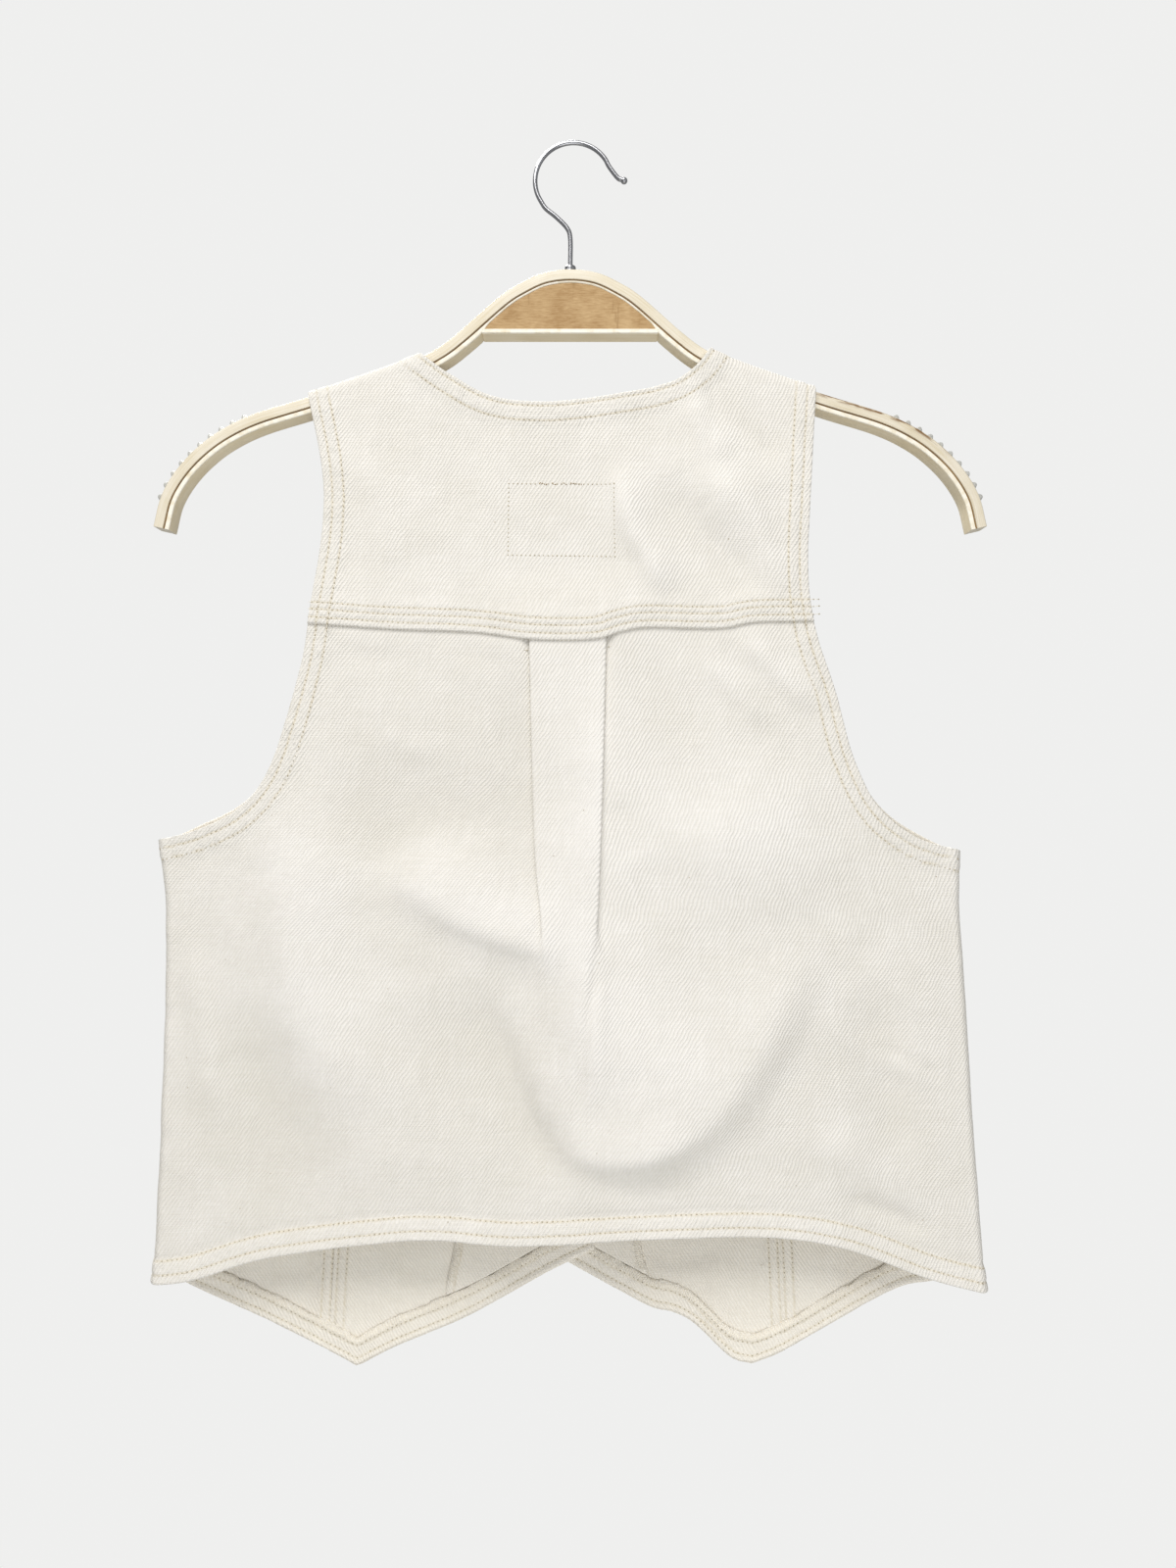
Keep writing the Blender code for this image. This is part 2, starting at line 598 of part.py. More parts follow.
def make_hem_facing(side, edges, group, denim):
    """Inside the pointed hem."""
    hem = edges["hem"]
    start = edges["side_seam"][-1][0] - edges["way"] * FACING_SIDE
    end = hem[-1][0] + edges["way"] * FACING_INSET
    across = np.linspace(0.0, 1.0, 26)
    places = start + across * (end - start)
    hem_height = height_at(hem, places)
    foot = np.stack([places, hem_height + FACING_INSET], axis=-1)
    head = np.stack([places, hem_height + HEM_FACING_HEIGHT], axis=-1)
    down = np.array([0.0, 0.5, 1.0])
    near = head[0] + down[:, None] * (foot[0] - head[0])
    far = head[-1] + down[:, None] * (foot[-1] - head[-1])
    flat = patch(head, foot, near, far, across, down)
    x = flat[..., 0]
    depth = front_y(x, flat[..., 1], front_lift(side, x) - LAYER)
    cloth_wall("hem_facing_" + side, flat, depth, denim, group)


def make_front_facing(side, edges, group, denim):
    """Inside the neckline and the closing edge, down to the hem facing."""
    hem = edges["hem"]
    above_hem = HEM_FACING_HEIGHT + 2.0 * SEAM
    inner = edges["facing_edge"]
    inner = inner[inner[:, 1] > height_at(hem, inner[:, 0]) + above_hem]
    inner = np.vstack([(inner[0][0], shoulder_at(inner[0][0]) - SHOULDER_ROUND), inner[1:]])
    neck_edge = edges["neckline"] + np.array([edges["way"] * FACING_INSET, 0.0])
    neck_edge = neck_edge[neck_edge[:, 1] < shoulder_at(neck_edge[:, 0]) - SHOULDER_ROUND]
    closing_x = hem[-1][0] + edges["way"] * FACING_INSET
    closing_edge = np.array([neck_edge[-1], (closing_x, height_at(hem, closing_x) + above_hem)])
    across = np.linspace(0.0, 1.0, 7)
    down = np.linspace(0.0, 1.0, 16)
    head = np.linspace(inner[0], neck_edge[0], len(across))
    foot_x = np.linspace(inner[-1][0], closing_x, len(across))
    foot = np.stack([foot_x, height_at(hem, foot_x) + above_hem], axis=-1)
    inner[-1] = foot[0]
    flat = patch(head, foot, along(inner, down), along_two(neck_edge, closing_edge, NECKLINE_SHARE, down),
                 across, down)
    x = flat[..., 0]
    depth = front_y(x, flat[..., 1], front_lift(side, x) - LAYER)
    cloth_wall("front_facing_" + side, flat, depth, denim, group)


def make_front(side, group, denim):
    """One side's front, cut apart at the princess seam, with its facings."""
    edges = front_edges(side)
    make_side_front(side, edges, group, denim)
    make_centre_front(side, edges, group, denim)
    make_hem_facing(side, edges, group, denim)
    make_front_facing(side, edges, group, denim)


# Turned and flat pieces


def turned_piece(name, profile, steps, material, group):
    """A profile (radius, height), running down the outer side, turned round the Z axis."""
    mesh = bpy.data.meshes.new(name)
    edges = [(number, number + 1) for number in range(len(profile) - 1)]
    mesh.from_pydata([(radius * MM, 0.0, height * MM) for radius, height in profile], edges, [])
    mesh.materials.append(material)
    made = bpy.data.objects.new(name, mesh)
    group.objects.link(made)
    turn = made.modifiers.new("turn", "SCREW")
    turn.steps = turn.render_steps = steps
    turn.use_merge_vertices = True
    turn.merge_threshold = 0.00001
    turn.use_smooth_shade = True
    return made


def make_buttons(group, metal):
    profile = ((0.0, 2.7), (5.6, 2.7), (6.6, 3.2), (7.6, 3.0), (8.0, 2.2), (7.4, 1.5), (5.0, 1.1), (5.0, 0.0),
               (0.0, 0.0))
    for number in range(BUTTON_COUNT):
        z = BUTTON_TOP - number * BUTTON_PITCH
        seat = front_y(CLOSING_MIDDLE, z, 2.0 * LAYER) + 0.5 * WALL + 0.4
        button = turned_piece("button_" + str(number + 1), profile, BUTTON_STEPS, metal, group)
        button.location = (CLOSING_MIDDLE * MM, float(seat) * MM, z * MM)
        button.rotation_euler = (-0.5 * math.pi, 0.0, 0.0)


def flat_piece(name, outline, half_depth, edge, material, group):
    """An outline in the x, z plane, made a board of this half depth with rounded edges, as a welded mesh."""
    curve = bpy.data.curves.new(name, "CURVE")
    curve.dimensions = "2D"
    curve.fill_mode = "BOTH"
    curve.extrude = (half_depth - edge) * MM
    curve.bevel_depth = edge * MM
    curve.bevel_resolution = 0
    curve.offset = -edge * MM
    line = curve.splines.new("POLY")
    line.points.add(len(outline) - 1)
    for point, (x, z) in zip(line.points, outline):
        point.co = (x * MM, z * MM, 0.0, 1.0)
    line.use_cyclic_u = True
    source = bpy.data.objects.new(name + "_outline", curve)
    group.objects.link(source)
    source.rotation_euler = (0.5 * math.pi, 0.0, 0.0)
    bpy.context.view_layer.update()
    evaluated = source.evaluated_get(bpy.context.evaluated_depsgraph_get())
    mesh = bpy.data.meshes.new_from_object(evaluated)
    work = bmesh.new()
    work.from_mesh(mesh)
    bmesh.ops.remove_doubles(work, verts=work.verts, dist=0.000005)
    bmesh.ops.recalc_face_normals(work, faces=work.faces)
    work.to_mesh(mesh)
    work.free()
    mesh.materials.clear()
    mesh.materials.append(material)
    made = bpy.data.objects.new(name, mesh)
    made.matrix_world = source.matrix_world.copy()
    group.objects.link(made)
    bpy.data.objects.remove(source)
    return made


def cut_with(made, cutter):
    cutter.hide_render = True
    cutter.display_type = "WIRE"
    cut = made.modifiers.new(cutter.name, "BOOLEAN")
    cut.operation = "DIFFERENCE"
    cut.object = cutter


def grip_stretch(way):
    """The part of the board's top edge that one grip covers, from the middle out."""
    curve = BOARD_TOP if way > 0.0 else BOARD_TOP[::-1]
    distance = np.abs(curve[:, 0])
    outward = curve[:, 0] * way > 0.0
    return curve[outward & (distance > GRIP_START) & (distance < GRIP_END)]


def make_grips(board, group, cutters, rubber):
    for side, way in (("left", -1.0), ("right", 1.0)):
        edge = along(grip_stretch(way), np.linspace(0.0, 1.0, TOOTH_POINTS * TEETH + 1))
        floor = offset_curve(edge, way * (GRIP_DEPTH + GROOVE_GAP))
        above = offset_curve(edge, -way * CUTTER_RISE)
        around = np.vstack([above, floor[::-1]])
        groove = flat_piece("groove_" + side, around, 0.5 * GRIP_WIDTH + GROOVE_GAP, 0.0, rubber, cutters)
        cut_with(board, groove)
        gap = GROOVE_GAP / run_of(edge)[-1]
        inner = along(edge, np.linspace(gap, 1.0 - gap, TOOTH_POINTS * TEETH + 1))
        top = []
        tips = offset_curve(inner, -way * TOOTH_HEIGHT)
        for tooth in range(TEETH):
            start = TOOTH_POINTS * tooth
            top += [inner[start], 0.5 * (inner[start] + inner[start + 1]), tips[start + 1], inner[start + 2]]
        top.append(inner[-1])
        base = offset_curve(inner, way * GRIP_DEPTH)[::TOOTH_POINTS]
        flat_piece("grip_" + side, np.vstack([top, base[::-1]]), 0.5 * GRIP_WIDTH, 0.0, rubber, group)


def make_board(group, cutters, paint, wood):
    top = along(BOARD_TOP, np.linspace(0.0, 1.0, BOARD_STEPS + 1))
    arms = offset_curve(top, ARM_HEIGHT)
    inner = arms[arms[:, 1] < BAR_FOOT]
    outline = np.vstack([top, inner[::-1]])
    board = flat_piece("hanger_board", outline, 0.5 * BOARD_DEPTH, BOARD_EDGE, paint, group)
    crest = offset_curve(top, CREST_BORDER)
    reach = abs(x_at(crest[crest[:, 0] > 0.0], BAR_TOP))
    arch = crest[np.abs(crest[:, 0]) < reach]
    opening = np.vstack([(-reach, BAR_TOP), arch, (reach, BAR_TOP)])
    cut_with(board, flat_piece("crest_opening", opening, BOARD_DEPTH, 0.0, paint, cutters))
    inner_reach = reach - 2.0 * INLAY_GAP
    inlay_arch = offset_curve(crest, INLAY_GAP)
    inlay_arch = inlay_arch[inlay_arch[:, 1] > BAR_TOP + INLAY_GAP]
    foot = BAR_TOP + INLAY_GAP
    inner_arch = inlay_arch[np.abs(inlay_arch[:, 0]) < inner_reach]
    inlay = np.vstack([(-inner_reach, foot), inner_arch, (inner_reach, foot)])
    flat_piece("crest_panel", inlay, 0.5 * BOARD_DEPTH - INLAY_RECESS, 0.0, wood, group)
    bpy.ops.mesh.primitive_cylinder_add(vertices=16, radius=STEM_HOLE * MM, depth=20.0 * MM,
                                        location=(0.0, 0.0, (STEM_SEAT - 0.3 + 10.0) * MM))
    hole = bpy.context.active_object
    hole.name = "stem_hole"
    for owner in list(hole.users_collection):
        owner.objects.unlink(hole)
    cutters.objects.link(hole)
    cut_with(board, hole)
    return board


def make_hook(group, chrome):
    ring_z = WIRE - HOOK_RING
    stem = [(0.0, STEM_SEAT), (0.0, -62.0), (0.0, -49.0), (-1.6, -43.4), (-7.2, -37.6), (-12.6, -33.2)]
    turns = [math.radians(angle) for angle in range(214, 10, -12)]
    ring = [(HOOK_RING_X + HOOK_RING * math.cos(turn), ring_z + HOOK_RING * math.sin(turn)) for turn in turns]
    tip = [(24.6, -17.0), (28.3, -18.7)]
    path = spline(stem + ring + tip, 2)
    curve = bpy.data.curves.new("hook", "CURVE")
    curve.dimensions = "3D"
    curve.bevel_depth = WIRE * MM
    curve.bevel_resolution = 2
    curve.use_fill_caps = True
    line = curve.splines.new("POLY")
    line.points.add(len(path) - 1)
    for point, (x, z) in zip(line.points, path):
        point.co = (x * MM, 0.0, z * MM, 1.0)
    curve.materials.append(chrome)
    hook = bpy.data.objects.new("hook", curve)
    group.objects.link(hook)


def make_ferrule(group, chrome):
    foot = BOARD_POINTS[0][1] + 0.3
    hole = WIRE + 0.35
    profile = ((hole, 3.6), (2.4, 3.6), (2.9, 3.0), (2.9, 0.5), (3.3, 0.0), (hole, 0.0), (hole, 3.6))
    ferrule = turned_piece("hook_ferrule", profile, 16, chrome, group)
    ferrule.location = (0.0, 0.0, foot * MM)


def main():
    clear_scene()
    group = make_collection("denim_vest_on_hanger")
    cutters = make_collection("cutters")
    denim = make_material("cream_denim", (0.84, 0.80, 0.72), 0.85)
    paint = make_material("cream_paint", (0.88, 0.83, 0.70), 0.5)
    wood = make_material("bare_beech", (0.68, 0.50, 0.31), 0.6)
    chrome = make_material("chromed_wire", (0.75, 0.76, 0.78), 0.15, metallic=1.0)
    rubber = make_material("clear_rubber", (0.85, 0.85, 0.80), 0.4, alpha=0.6)
    metal = make_material("nickel_button", (0.66, 0.64, 0.60), 0.35, metallic=1.0)
    make_yoke(group, denim)
    make_back_panel(group, denim)
    make_front("left", group, denim)
    make_front("right", group, denim)
    make_buttons(group, metal)
    board = make_board(group, cutters, paint, wood)
    make_grips(board, group, cutters, rubber)
    make_hook(group, chrome)
    make_ferrule(group, chrome)


main()
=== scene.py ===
import math

import bpy
import numpy as np
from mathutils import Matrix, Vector, noise


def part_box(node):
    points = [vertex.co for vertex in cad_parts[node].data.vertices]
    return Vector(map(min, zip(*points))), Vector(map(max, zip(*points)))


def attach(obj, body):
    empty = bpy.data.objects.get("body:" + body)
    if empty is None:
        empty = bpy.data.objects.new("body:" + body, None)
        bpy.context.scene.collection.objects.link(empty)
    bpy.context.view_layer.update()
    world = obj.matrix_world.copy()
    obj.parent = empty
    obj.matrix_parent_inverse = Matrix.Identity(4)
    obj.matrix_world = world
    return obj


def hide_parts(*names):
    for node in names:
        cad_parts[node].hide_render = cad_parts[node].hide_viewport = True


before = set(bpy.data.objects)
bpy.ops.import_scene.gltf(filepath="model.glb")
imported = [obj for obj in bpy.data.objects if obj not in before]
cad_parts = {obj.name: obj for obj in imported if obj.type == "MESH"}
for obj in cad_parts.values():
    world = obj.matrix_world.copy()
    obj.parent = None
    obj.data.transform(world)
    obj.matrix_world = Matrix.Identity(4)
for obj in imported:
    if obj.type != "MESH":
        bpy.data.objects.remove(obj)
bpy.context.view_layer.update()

# a cream denim waistcoat hanging on a laminated hanger, looked at from its back
# everything below is in millimetres until it goes into a mesh, and mm makes it metres
mm = 0.001
print("frame loaded,", len(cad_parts), "nodes")


# small tools

def hexColour(code):
    parts = [int(code[place:place + 2], 16) / 255 for place in (0, 2, 4)]
    return tuple(p / 12.92 if p <= 0.04045 else ((p + 0.055) / 1.055) ** 2.4 for p in parts) + (1.0,)


def addNode(tree, kind, inputs=None, **settings):
    node = tree.nodes.new(kind)
    for name, value in settings.items():
        setattr(node, name, value)
    for socket, value in (inputs or {}).items():
        if isinstance(value, bpy.types.NodeSocket):
            tree.links.new(value, node.inputs[socket])
        else:
            node.inputs[socket].default_value = value
    return node


def startMaterial(name):
    made = bpy.data.materials.new(name)
    made.use_nodes = True
    tree = made.node_tree
    return made, tree, tree.nodes["Principled BSDF"]


def smoothStep(low, high, value):
    part = np.clip((value - low) / (high - low), 0.0, 1.0)
    return part * part * (3.0 - 2.0 * part)


def smoothCurve(points, steps=10):
    rows = np.array(points, float)
    rows = np.vstack([2.0 * rows[0] - rows[1], rows, 2.0 * rows[-1] - rows[-2]])
    found = []
    for number in range(1, len(rows) - 2):
        before, start, end, after = rows[number - 1:number + 3]
        for step in range(steps):
            part = step / steps
            squared = 2.0 * before - 5.0 * start + 4.0 * end - after
            cubed = 3.0 * start - before - 3.0 * end + after
            found.append(0.5 * (2.0 * start + (end - before) * part + squared * part**2 + cubed * part**3))
    found.append(rows[-2])
    return np.array(found)


def runOf(curve):
    return np.concatenate([[0.0], np.cumsum(np.linalg.norm(np.diff(curve, axis=0), axis=1))])


def along(curve, shares):
    run = runOf(curve)
    wanted = np.asarray(shares) * run[-1]
    return np.stack([np.interp(wanted, run, curve[:, axis]) for axis in range(curve.shape[1])], axis=-1)


def alongTwo(first, second, split, shares):
    shares = np.asarray(shares)
    onFirst = along(first, np.minimum(shares / split, 1.0))
    onSecond = along(second, np.maximum((shares - split) / (1.0 - split), 0.0))
    return np.where((shares <= split)[:, None], onFirst, onSecond)


def cutHeights(curve, top, foot):
    heights = curve[::-1, 1]
    ends = [(np.interp(z, heights, curve[::-1, 0]), z) for z in (top, foot)]
    inner = (curve[:, 1] < top) & (curve[:, 1] > foot)
    return np.vstack([ends[0], curve[inner], ends[1]])


def heightAt(curve, x):
    order = np.argsort(curve[:, 0])
    return np.interp(x, curve[order, 0], curve[order, 1])


def xAt(curve, z):
    order = np.argsort(curve[:, 1])
    return np.interp(z, curve[order, 1], curve[order, 0])


def headings(line):
    # the direction at each point, one long
    ahead = np.gradient(line, axis=0)
    return ahead / np.linalg.norm(ahead, axis=1)[:, None]


def offsetCurve(curve, distance):
    ahead = headings(curve)
    return curve + distance * np.stack([ahead[:, 1], -ahead[:, 0]], axis=-1)


def nearestOn(curve, x, z):
    # distance to the curve, how far along it, and which side: above 0 on its left
    run = runOf(curve)
    nearest = np.full(np.shape(x), np.inf)
    side = np.zeros(np.shape(x))
    place = np.zeros(np.shape(x))
    for number in range(len(curve) - 1):
        start = curve[number]
        step = curve[number + 1] - start
        size = step @ step
        part = np.clip(((x - start[0]) * step[0] + (z - start[1]) * step[1]) / size, 0.0, 1.0)
        awayX = x - start[0] - part * step[0]
        awayZ = z - start[1] - part * step[1]
        distance = np.hypot(awayX, awayZ)
        closer = distance < nearest
        nearest = np.where(closer, distance, nearest)
        side = np.where(closer, step[0] * awayZ - step[1] * awayX, side)
        place = np.where(closer, run[number] + part * math.sqrt(size), place)
    return nearest, place, side


def wobble(place, pitch, seed):
    # an uneven wave between -1 and 1
    table = np.random.RandomState(seed).uniform(-1.0, 1.0, 400)
    spot = np.asarray(place) / pitch
    low = np.floor(spot).astype(int)
    part = spot - low
    part = part * part * (3.0 - 2.0 * part)
    return table[low % 400] * (1.0 - part) + table[(low + 1) % 400] * part


def patch(head, foot, near, far, across, down):
    u = np.asarray(across)[None, :, None]
    v = np.asarray(down)[:, None, None]
    ruled = (1.0 - v) * head[None] + v * foot[None] + (1.0 - u) * near[:, None] + u * far[:, None]
    corners = (1.0 - v) * ((1.0 - u) * head[0] + u * head[-1]) + v * ((1.0 - u) * foot[0] + u * foot[-1])
    return ruled - corners


bandSteps = [0, 0.12, 0.4, 0.9, 1.6, 2.4, 3.2, 4.0, 4.8, 5.6, 6.4, 7.2, 8.0, 8.8, 9.6, 10.4, 11.2, 12.0,
             12.8, 14.0]
plainSteps = [0, 0.12, 0.4, 0.9, 1.8, 3.2]
neckSteps = [0, 0.3, 1.0, 2.2]


def graded(length, pitch, start=plainSteps, end=plainSteps):
    # shares along a length, close together at both edges
    count = max(2, round((length - start[-1] - end[-1]) / pitch))
    middle = np.linspace(start[-1], length - end[-1], count + 1)[1:-1]
    return np.concatenate([start, middle, length - np.array(end[::-1], float)]) / length


def linkMesh(name, points, faces, materials, smooth=True):
    mesh = bpy.data.meshes.new(name)
    mesh.from_pydata([tuple(point) for point in np.asarray(points, float) * mm], [], faces)
    for material in materials:
        mesh.materials.append(material)
    if smooth:
        mesh.shade_smooth()
    made = bpy.data.objects.new(name, mesh)
    bpy.context.scene.collection.objects.link(made)
    return made


def ringFaces(rings, around):
    # the faces between rings of points that follow one another
    faces = []
    for ring in range(rings - 1):
        for step in range(around):
            first, after = ring * around + step, ring * around + (step + 1) % around
            faces.append((first, after, after + around, first + around))
    return faces


def ringCaps(rings, around):
    # the two faces that close them
    return [tuple(range(around))[::-1], tuple((rings - 1) * around + step for step in range(around))]


def keepHard(made, node):
    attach(made, "root")
    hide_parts(node)


# camera, light and floor

view = {"lens": 27.0, "place": (9.2, -612.0, -332.5)}
studio = {"keyPower": 28.0, "fillPower": 2.4, "lowPower": 7.6, "farPower": 42.0, "world": "f7f7f6",
          "ambient": 0.38, "seen": 0.93, "floor": "cfcfcd", "floorZ": -1250.0}


def makeCamera():
    data = bpy.data.cameras.new("camera")
    data.lens = view["lens"]
    data.sensor_width = 36.0
    data.clip_start = 0.01
    camera = bpy.data.objects.new("camera", data)
    camera.location = Vector(view["place"]) * mm
    camera.rotation_euler = (math.radians(90.0), 0.0, 0.0)
    bpy.context.scene.collection.objects.link(camera)
    bpy.context.scene.camera = camera


def makeLamp(name, place, target, size, power, colour="ffffff"):
    data = bpy.data.lights.new(name, "AREA")
    data.shape = "RECTANGLE"
    data.size, data.size_y = size
    data.energy = power
    data.color = hexColour(colour)[:3]
    lamp = bpy.data.objects.new(name, data)
    lamp.location = place
    lamp.rotation_euler = (Vector(target) - Vector(place)).to_track_quat("-Z", "Y").to_euler()
    bpy.context.scene.collection.objects.link(lamp)


def makeFloor():
    floor, _, shader = startMaterial("matt pale floor")
    shader.inputs["Base Color"].default_value = hexColour(studio["floor"])
    shader.inputs["Roughness"].default_value = 0.9
    radius, count = 700.0, 64
    ring = [(radius * math.cos(2 * math.pi * n / count), radius * math.sin(2 * math.pi * n / count),
             studio["floorZ"])
            for n in range(count)]
    made = linkMesh("floor", ring, [tuple(range(count))], [floor], smooth=False)


def makeStudio():
    world = bpy.data.worlds.new("studio")
    bpy.context.scene.world = world
    world.use_nodes = True
    tree = world.node_tree
    back = tree.nodes["Background"]
    back.inputs["Color"].default_value = hexColour(studio["world"])
    # the room is dimmer as a light than the pale backdrop that the camera sees
    seen = addNode(tree, "ShaderNodeLightPath").outputs["Is Camera Ray"]
    strength = addNode(tree, "ShaderNodeMix", {0: seen, 2: studio["ambient"], 3: studio["seen"]})
    tree.links.new(strength.outputs[0], back.inputs["Strength"])
    makeLamp("key", (-0.42, -1.1, 1.05), (0.0, 0.0, -0.36), (1.4, 0.8), studio["keyPower"], "fffdfa")
    makeLamp("fill", (1.5, -1.3, 0.1), (0.0, 0.0, -0.4), (1.2, 1.2), studio["fillPower"], "f6f9ff")
    makeLamp("far side", (-0.55, 1.15, 1.4), (0.0, 0.0, -0.36), (1.0, 0.6), studio["farPower"])
    makeLamp("low fill", (0.2, -1.2, -1.1), (0.0, 0.0, -0.6), (1.0, 1.0), studio["lowPower"])
    makeFloor()
    bpy.context.scene.view_settings.view_transform = "Standard"


makeCamera()
makeStudio()
print("camera, light and floor ready")


# materials

twill = {"linePitch": 1.7,      # denim has a line each 1.2 mm or so; a little coarser here, so that it shows
         "lineAngle": 57.0,     # a right-hand twill that has been washed
         "yarn": 0.85,          # spacing of the yarns that cross the lines
         # row and hole are painted shade: the dark of a sewn row's groove and of its needle holes
         "colour": "eeebe6", "shade": "dbd7cd", "fleck": "8f7a55", "row": "cfc3a6", "hole": "978c74"}


def makeTwill(name, colour, shade):
    # undyed cotton twill, woven of carded yarn and washed: matt and slightly furry, with fine raised diagonal
    # lines, slubs along the yarns, and specks of seed husk
    made, tree, shader = startMaterial(name)
    flat = addNode(tree, "ShaderNodeUVMap", uv_map="pattern").outputs["UV"]
    parts = addNode(tree, "ShaderNodeSeparateXYZ", {0: flat})
    v = parts.outputs["Y"]
    row = addNode(tree, "ShaderNodeAttribute", attribute_name="stitchRow").outputs["Fac"]
    band = addNode(tree, "ShaderNodeAttribute", attribute_name="seamBand").outputs["Fac"]
    place = addNode(tree, "ShaderNodeTexCoord").outputs["Object"]

    # the twill's own lines, slightly uneven
    angle = math.radians(twill["lineAngle"])
    acrossLines = addNode(tree, "ShaderNodeVectorMath",
                          {0: flat, 1: (math.sin(angle), -math.cos(angle), 0.0)},
                          operation="DOT_PRODUCT").outputs["Value"]
    uneven = addNode(tree, "ShaderNodeTexNoise",
                     {"Vector": flat, "Scale": 0.12, "Detail": 1.0}).outputs["Fac"]
    shifted = addNode(tree, "ShaderNodeMath", {0: uneven, 1: 2.2, 2: acrossLines}, operation="MULTIPLY_ADD")
    turns = addNode(tree, "ShaderNodeMath", {0: shifted.outputs[0], 1: 2.0 * math.pi / twill["linePitch"]},
                    operation="MULTIPLY")
    wave = addNode(tree, "ShaderNodeMath", {0: turns.outputs[0]}, operation="SINE").outputs[0]
    yarnTurns = addNode(tree, "ShaderNodeMath", {0: v, 1: 2.0 * math.pi / twill["yarn"]},
                        operation="MULTIPLY")
    floats = addNode(tree, "ShaderNodeMath", {0: yarnTurns.outputs[0]}, operation="SINE").outputs[0]
    crossed = addNode(tree, "ShaderNodeMath", {0: floats, 1: 0.3, 2: wave},
                      operation="MULTIPLY_ADD").outputs[0]

    # slubs: thick places that run a few centimetres along a yarn
    warpPlace = addNode(tree, "ShaderNodeVectorMath", {0: flat, 1: (1.1, 0.035, 1.0)}, operation="MULTIPLY")
    weftPlace = addNode(tree, "ShaderNodeVectorMath", {0: flat, 1: (0.05, 0.8, 1.0)}, operation="MULTIPLY")
    warpSlub = addNode(tree, "ShaderNodeTexNoise",
                       {"Vector": warpPlace.outputs[0], "Scale": 1.0, "Detail": 2.0})
    weftSlub = addNode(tree, "ShaderNodeTexNoise",
                       {"Vector": weftPlace.outputs[0], "Scale": 1.0, "Detail": 2.0})
    slubs = addNode(tree, "ShaderNodeMath", {0: warpSlub.outputs["Fac"], 1: weftSlub.outputs["Fac"]},
                    operation="ADD")

    # colour: yarn and shade by lines, slubs and a broad mottle
    mottle = addNode(tree, "ShaderNodeTexNoise",
                     {"Vector": flat, "Scale": 0.035, "Detail": 3.0}).outputs["Fac"]
    lineTone = addNode(tree, "ShaderNodeMath", {0: crossed, 1: -0.27, 2: 0.6}, operation="MULTIPLY_ADD")
    slubTone = addNode(tree, "ShaderNodeMath", {0: slubs.outputs[0], 1: 0.6, 2: lineTone.outputs[0]},
                       operation="MULTIPLY_ADD")
    mottled = addNode(tree, "ShaderNodeMath", {0: mottle, 1: 0.7, 2: slubTone.outputs[0]},
                      operation="MULTIPLY_ADD")
    # painted highlight on the raised folds and painted shade in their hollows, read from a point attribute
    foldShade = addNode(tree, "ShaderNodeAttribute", attribute_name="foldShade").outputs["Fac"]
    foldShaded = addNode(tree, "ShaderNodeMath", {0: foldShade, 1: -0.4, 2: mottled.outputs[0]},
                     operation="MULTIPLY_ADD")
    tone = addNode(tree, "ShaderNodeMapRange", {"Value": foldShaded.outputs[0], "From Min": 0.9, "From Max": 2.1})
    yarnColour = addNode(tree, "ShaderNodeMix",
                         {0: tone.outputs[0], 6: hexColour(colour), 7: hexColour(shade)},
                         data_type="RGBA").outputs[2]
    # specks of husk, about one a square centimetre, most of them faint
    cells = addNode(tree, "ShaderNodeTexVoronoi", {"Vector": flat, "Scale": 0.13, "Randomness": 1.0})
    keep = addNode(tree, "ShaderNodeSeparateColor", {0: cells.outputs["Color"]}).outputs[0]
    reach = addNode(tree, "ShaderNodeMath", {0: keep, 1: 0.085, 2: -0.02}, operation="MULTIPLY_ADD")
    inside = addNode(tree, "ShaderNodeMath", {0: reach.outputs[0], 1: cells.outputs["Distance"]},
                     operation="SUBTRACT")
    speck = addNode(tree, "ShaderNodeMapRange",
                    {"Value": inside.outputs[0], "From Min": 0.0, "From Max": 0.03,
                                                 "To Max": 0.55})
    specked = addNode(tree, "ShaderNodeMix", {0: speck.outputs[0], 6: yarnColour,
                                              7: hexColour(twill["fleck"])},
                      data_type="RGBA").outputs[2]
    # painted shade along each sewn row's groove and at its thread holes makes each row a little darker
    rowNoise = addNode(tree, "ShaderNodeTexNoise",
                       {"Vector": flat, "Scale": 0.55, "Detail": 2.0}).outputs["Fac"]
    rowPart = addNode(tree, "ShaderNodeMath", {0: rowNoise, 1: row}, operation="MULTIPLY")
    rowShadeShare = addNode(tree, "ShaderNodeMapRange",
                       {"Value": rowPart.outputs[0], "From Min": 0.15, "From Max": 0.6,
                                                    "To Max": 0.55})
    sewn = addNode(tree, "ShaderNodeMix", {0: rowShadeShare.outputs[0], 6: specked, 7: hexColour(twill["row"])},
                   data_type="RGBA").outputs[2]
    tree.links.new(sewn, shader.inputs["Base Color"])
    shader.inputs["Roughness"].default_value = 0.88
    shader.inputs["Sheen Weight"].default_value = 0.06
    shader.inputs["Sheen Roughness"].default_value = 0.5

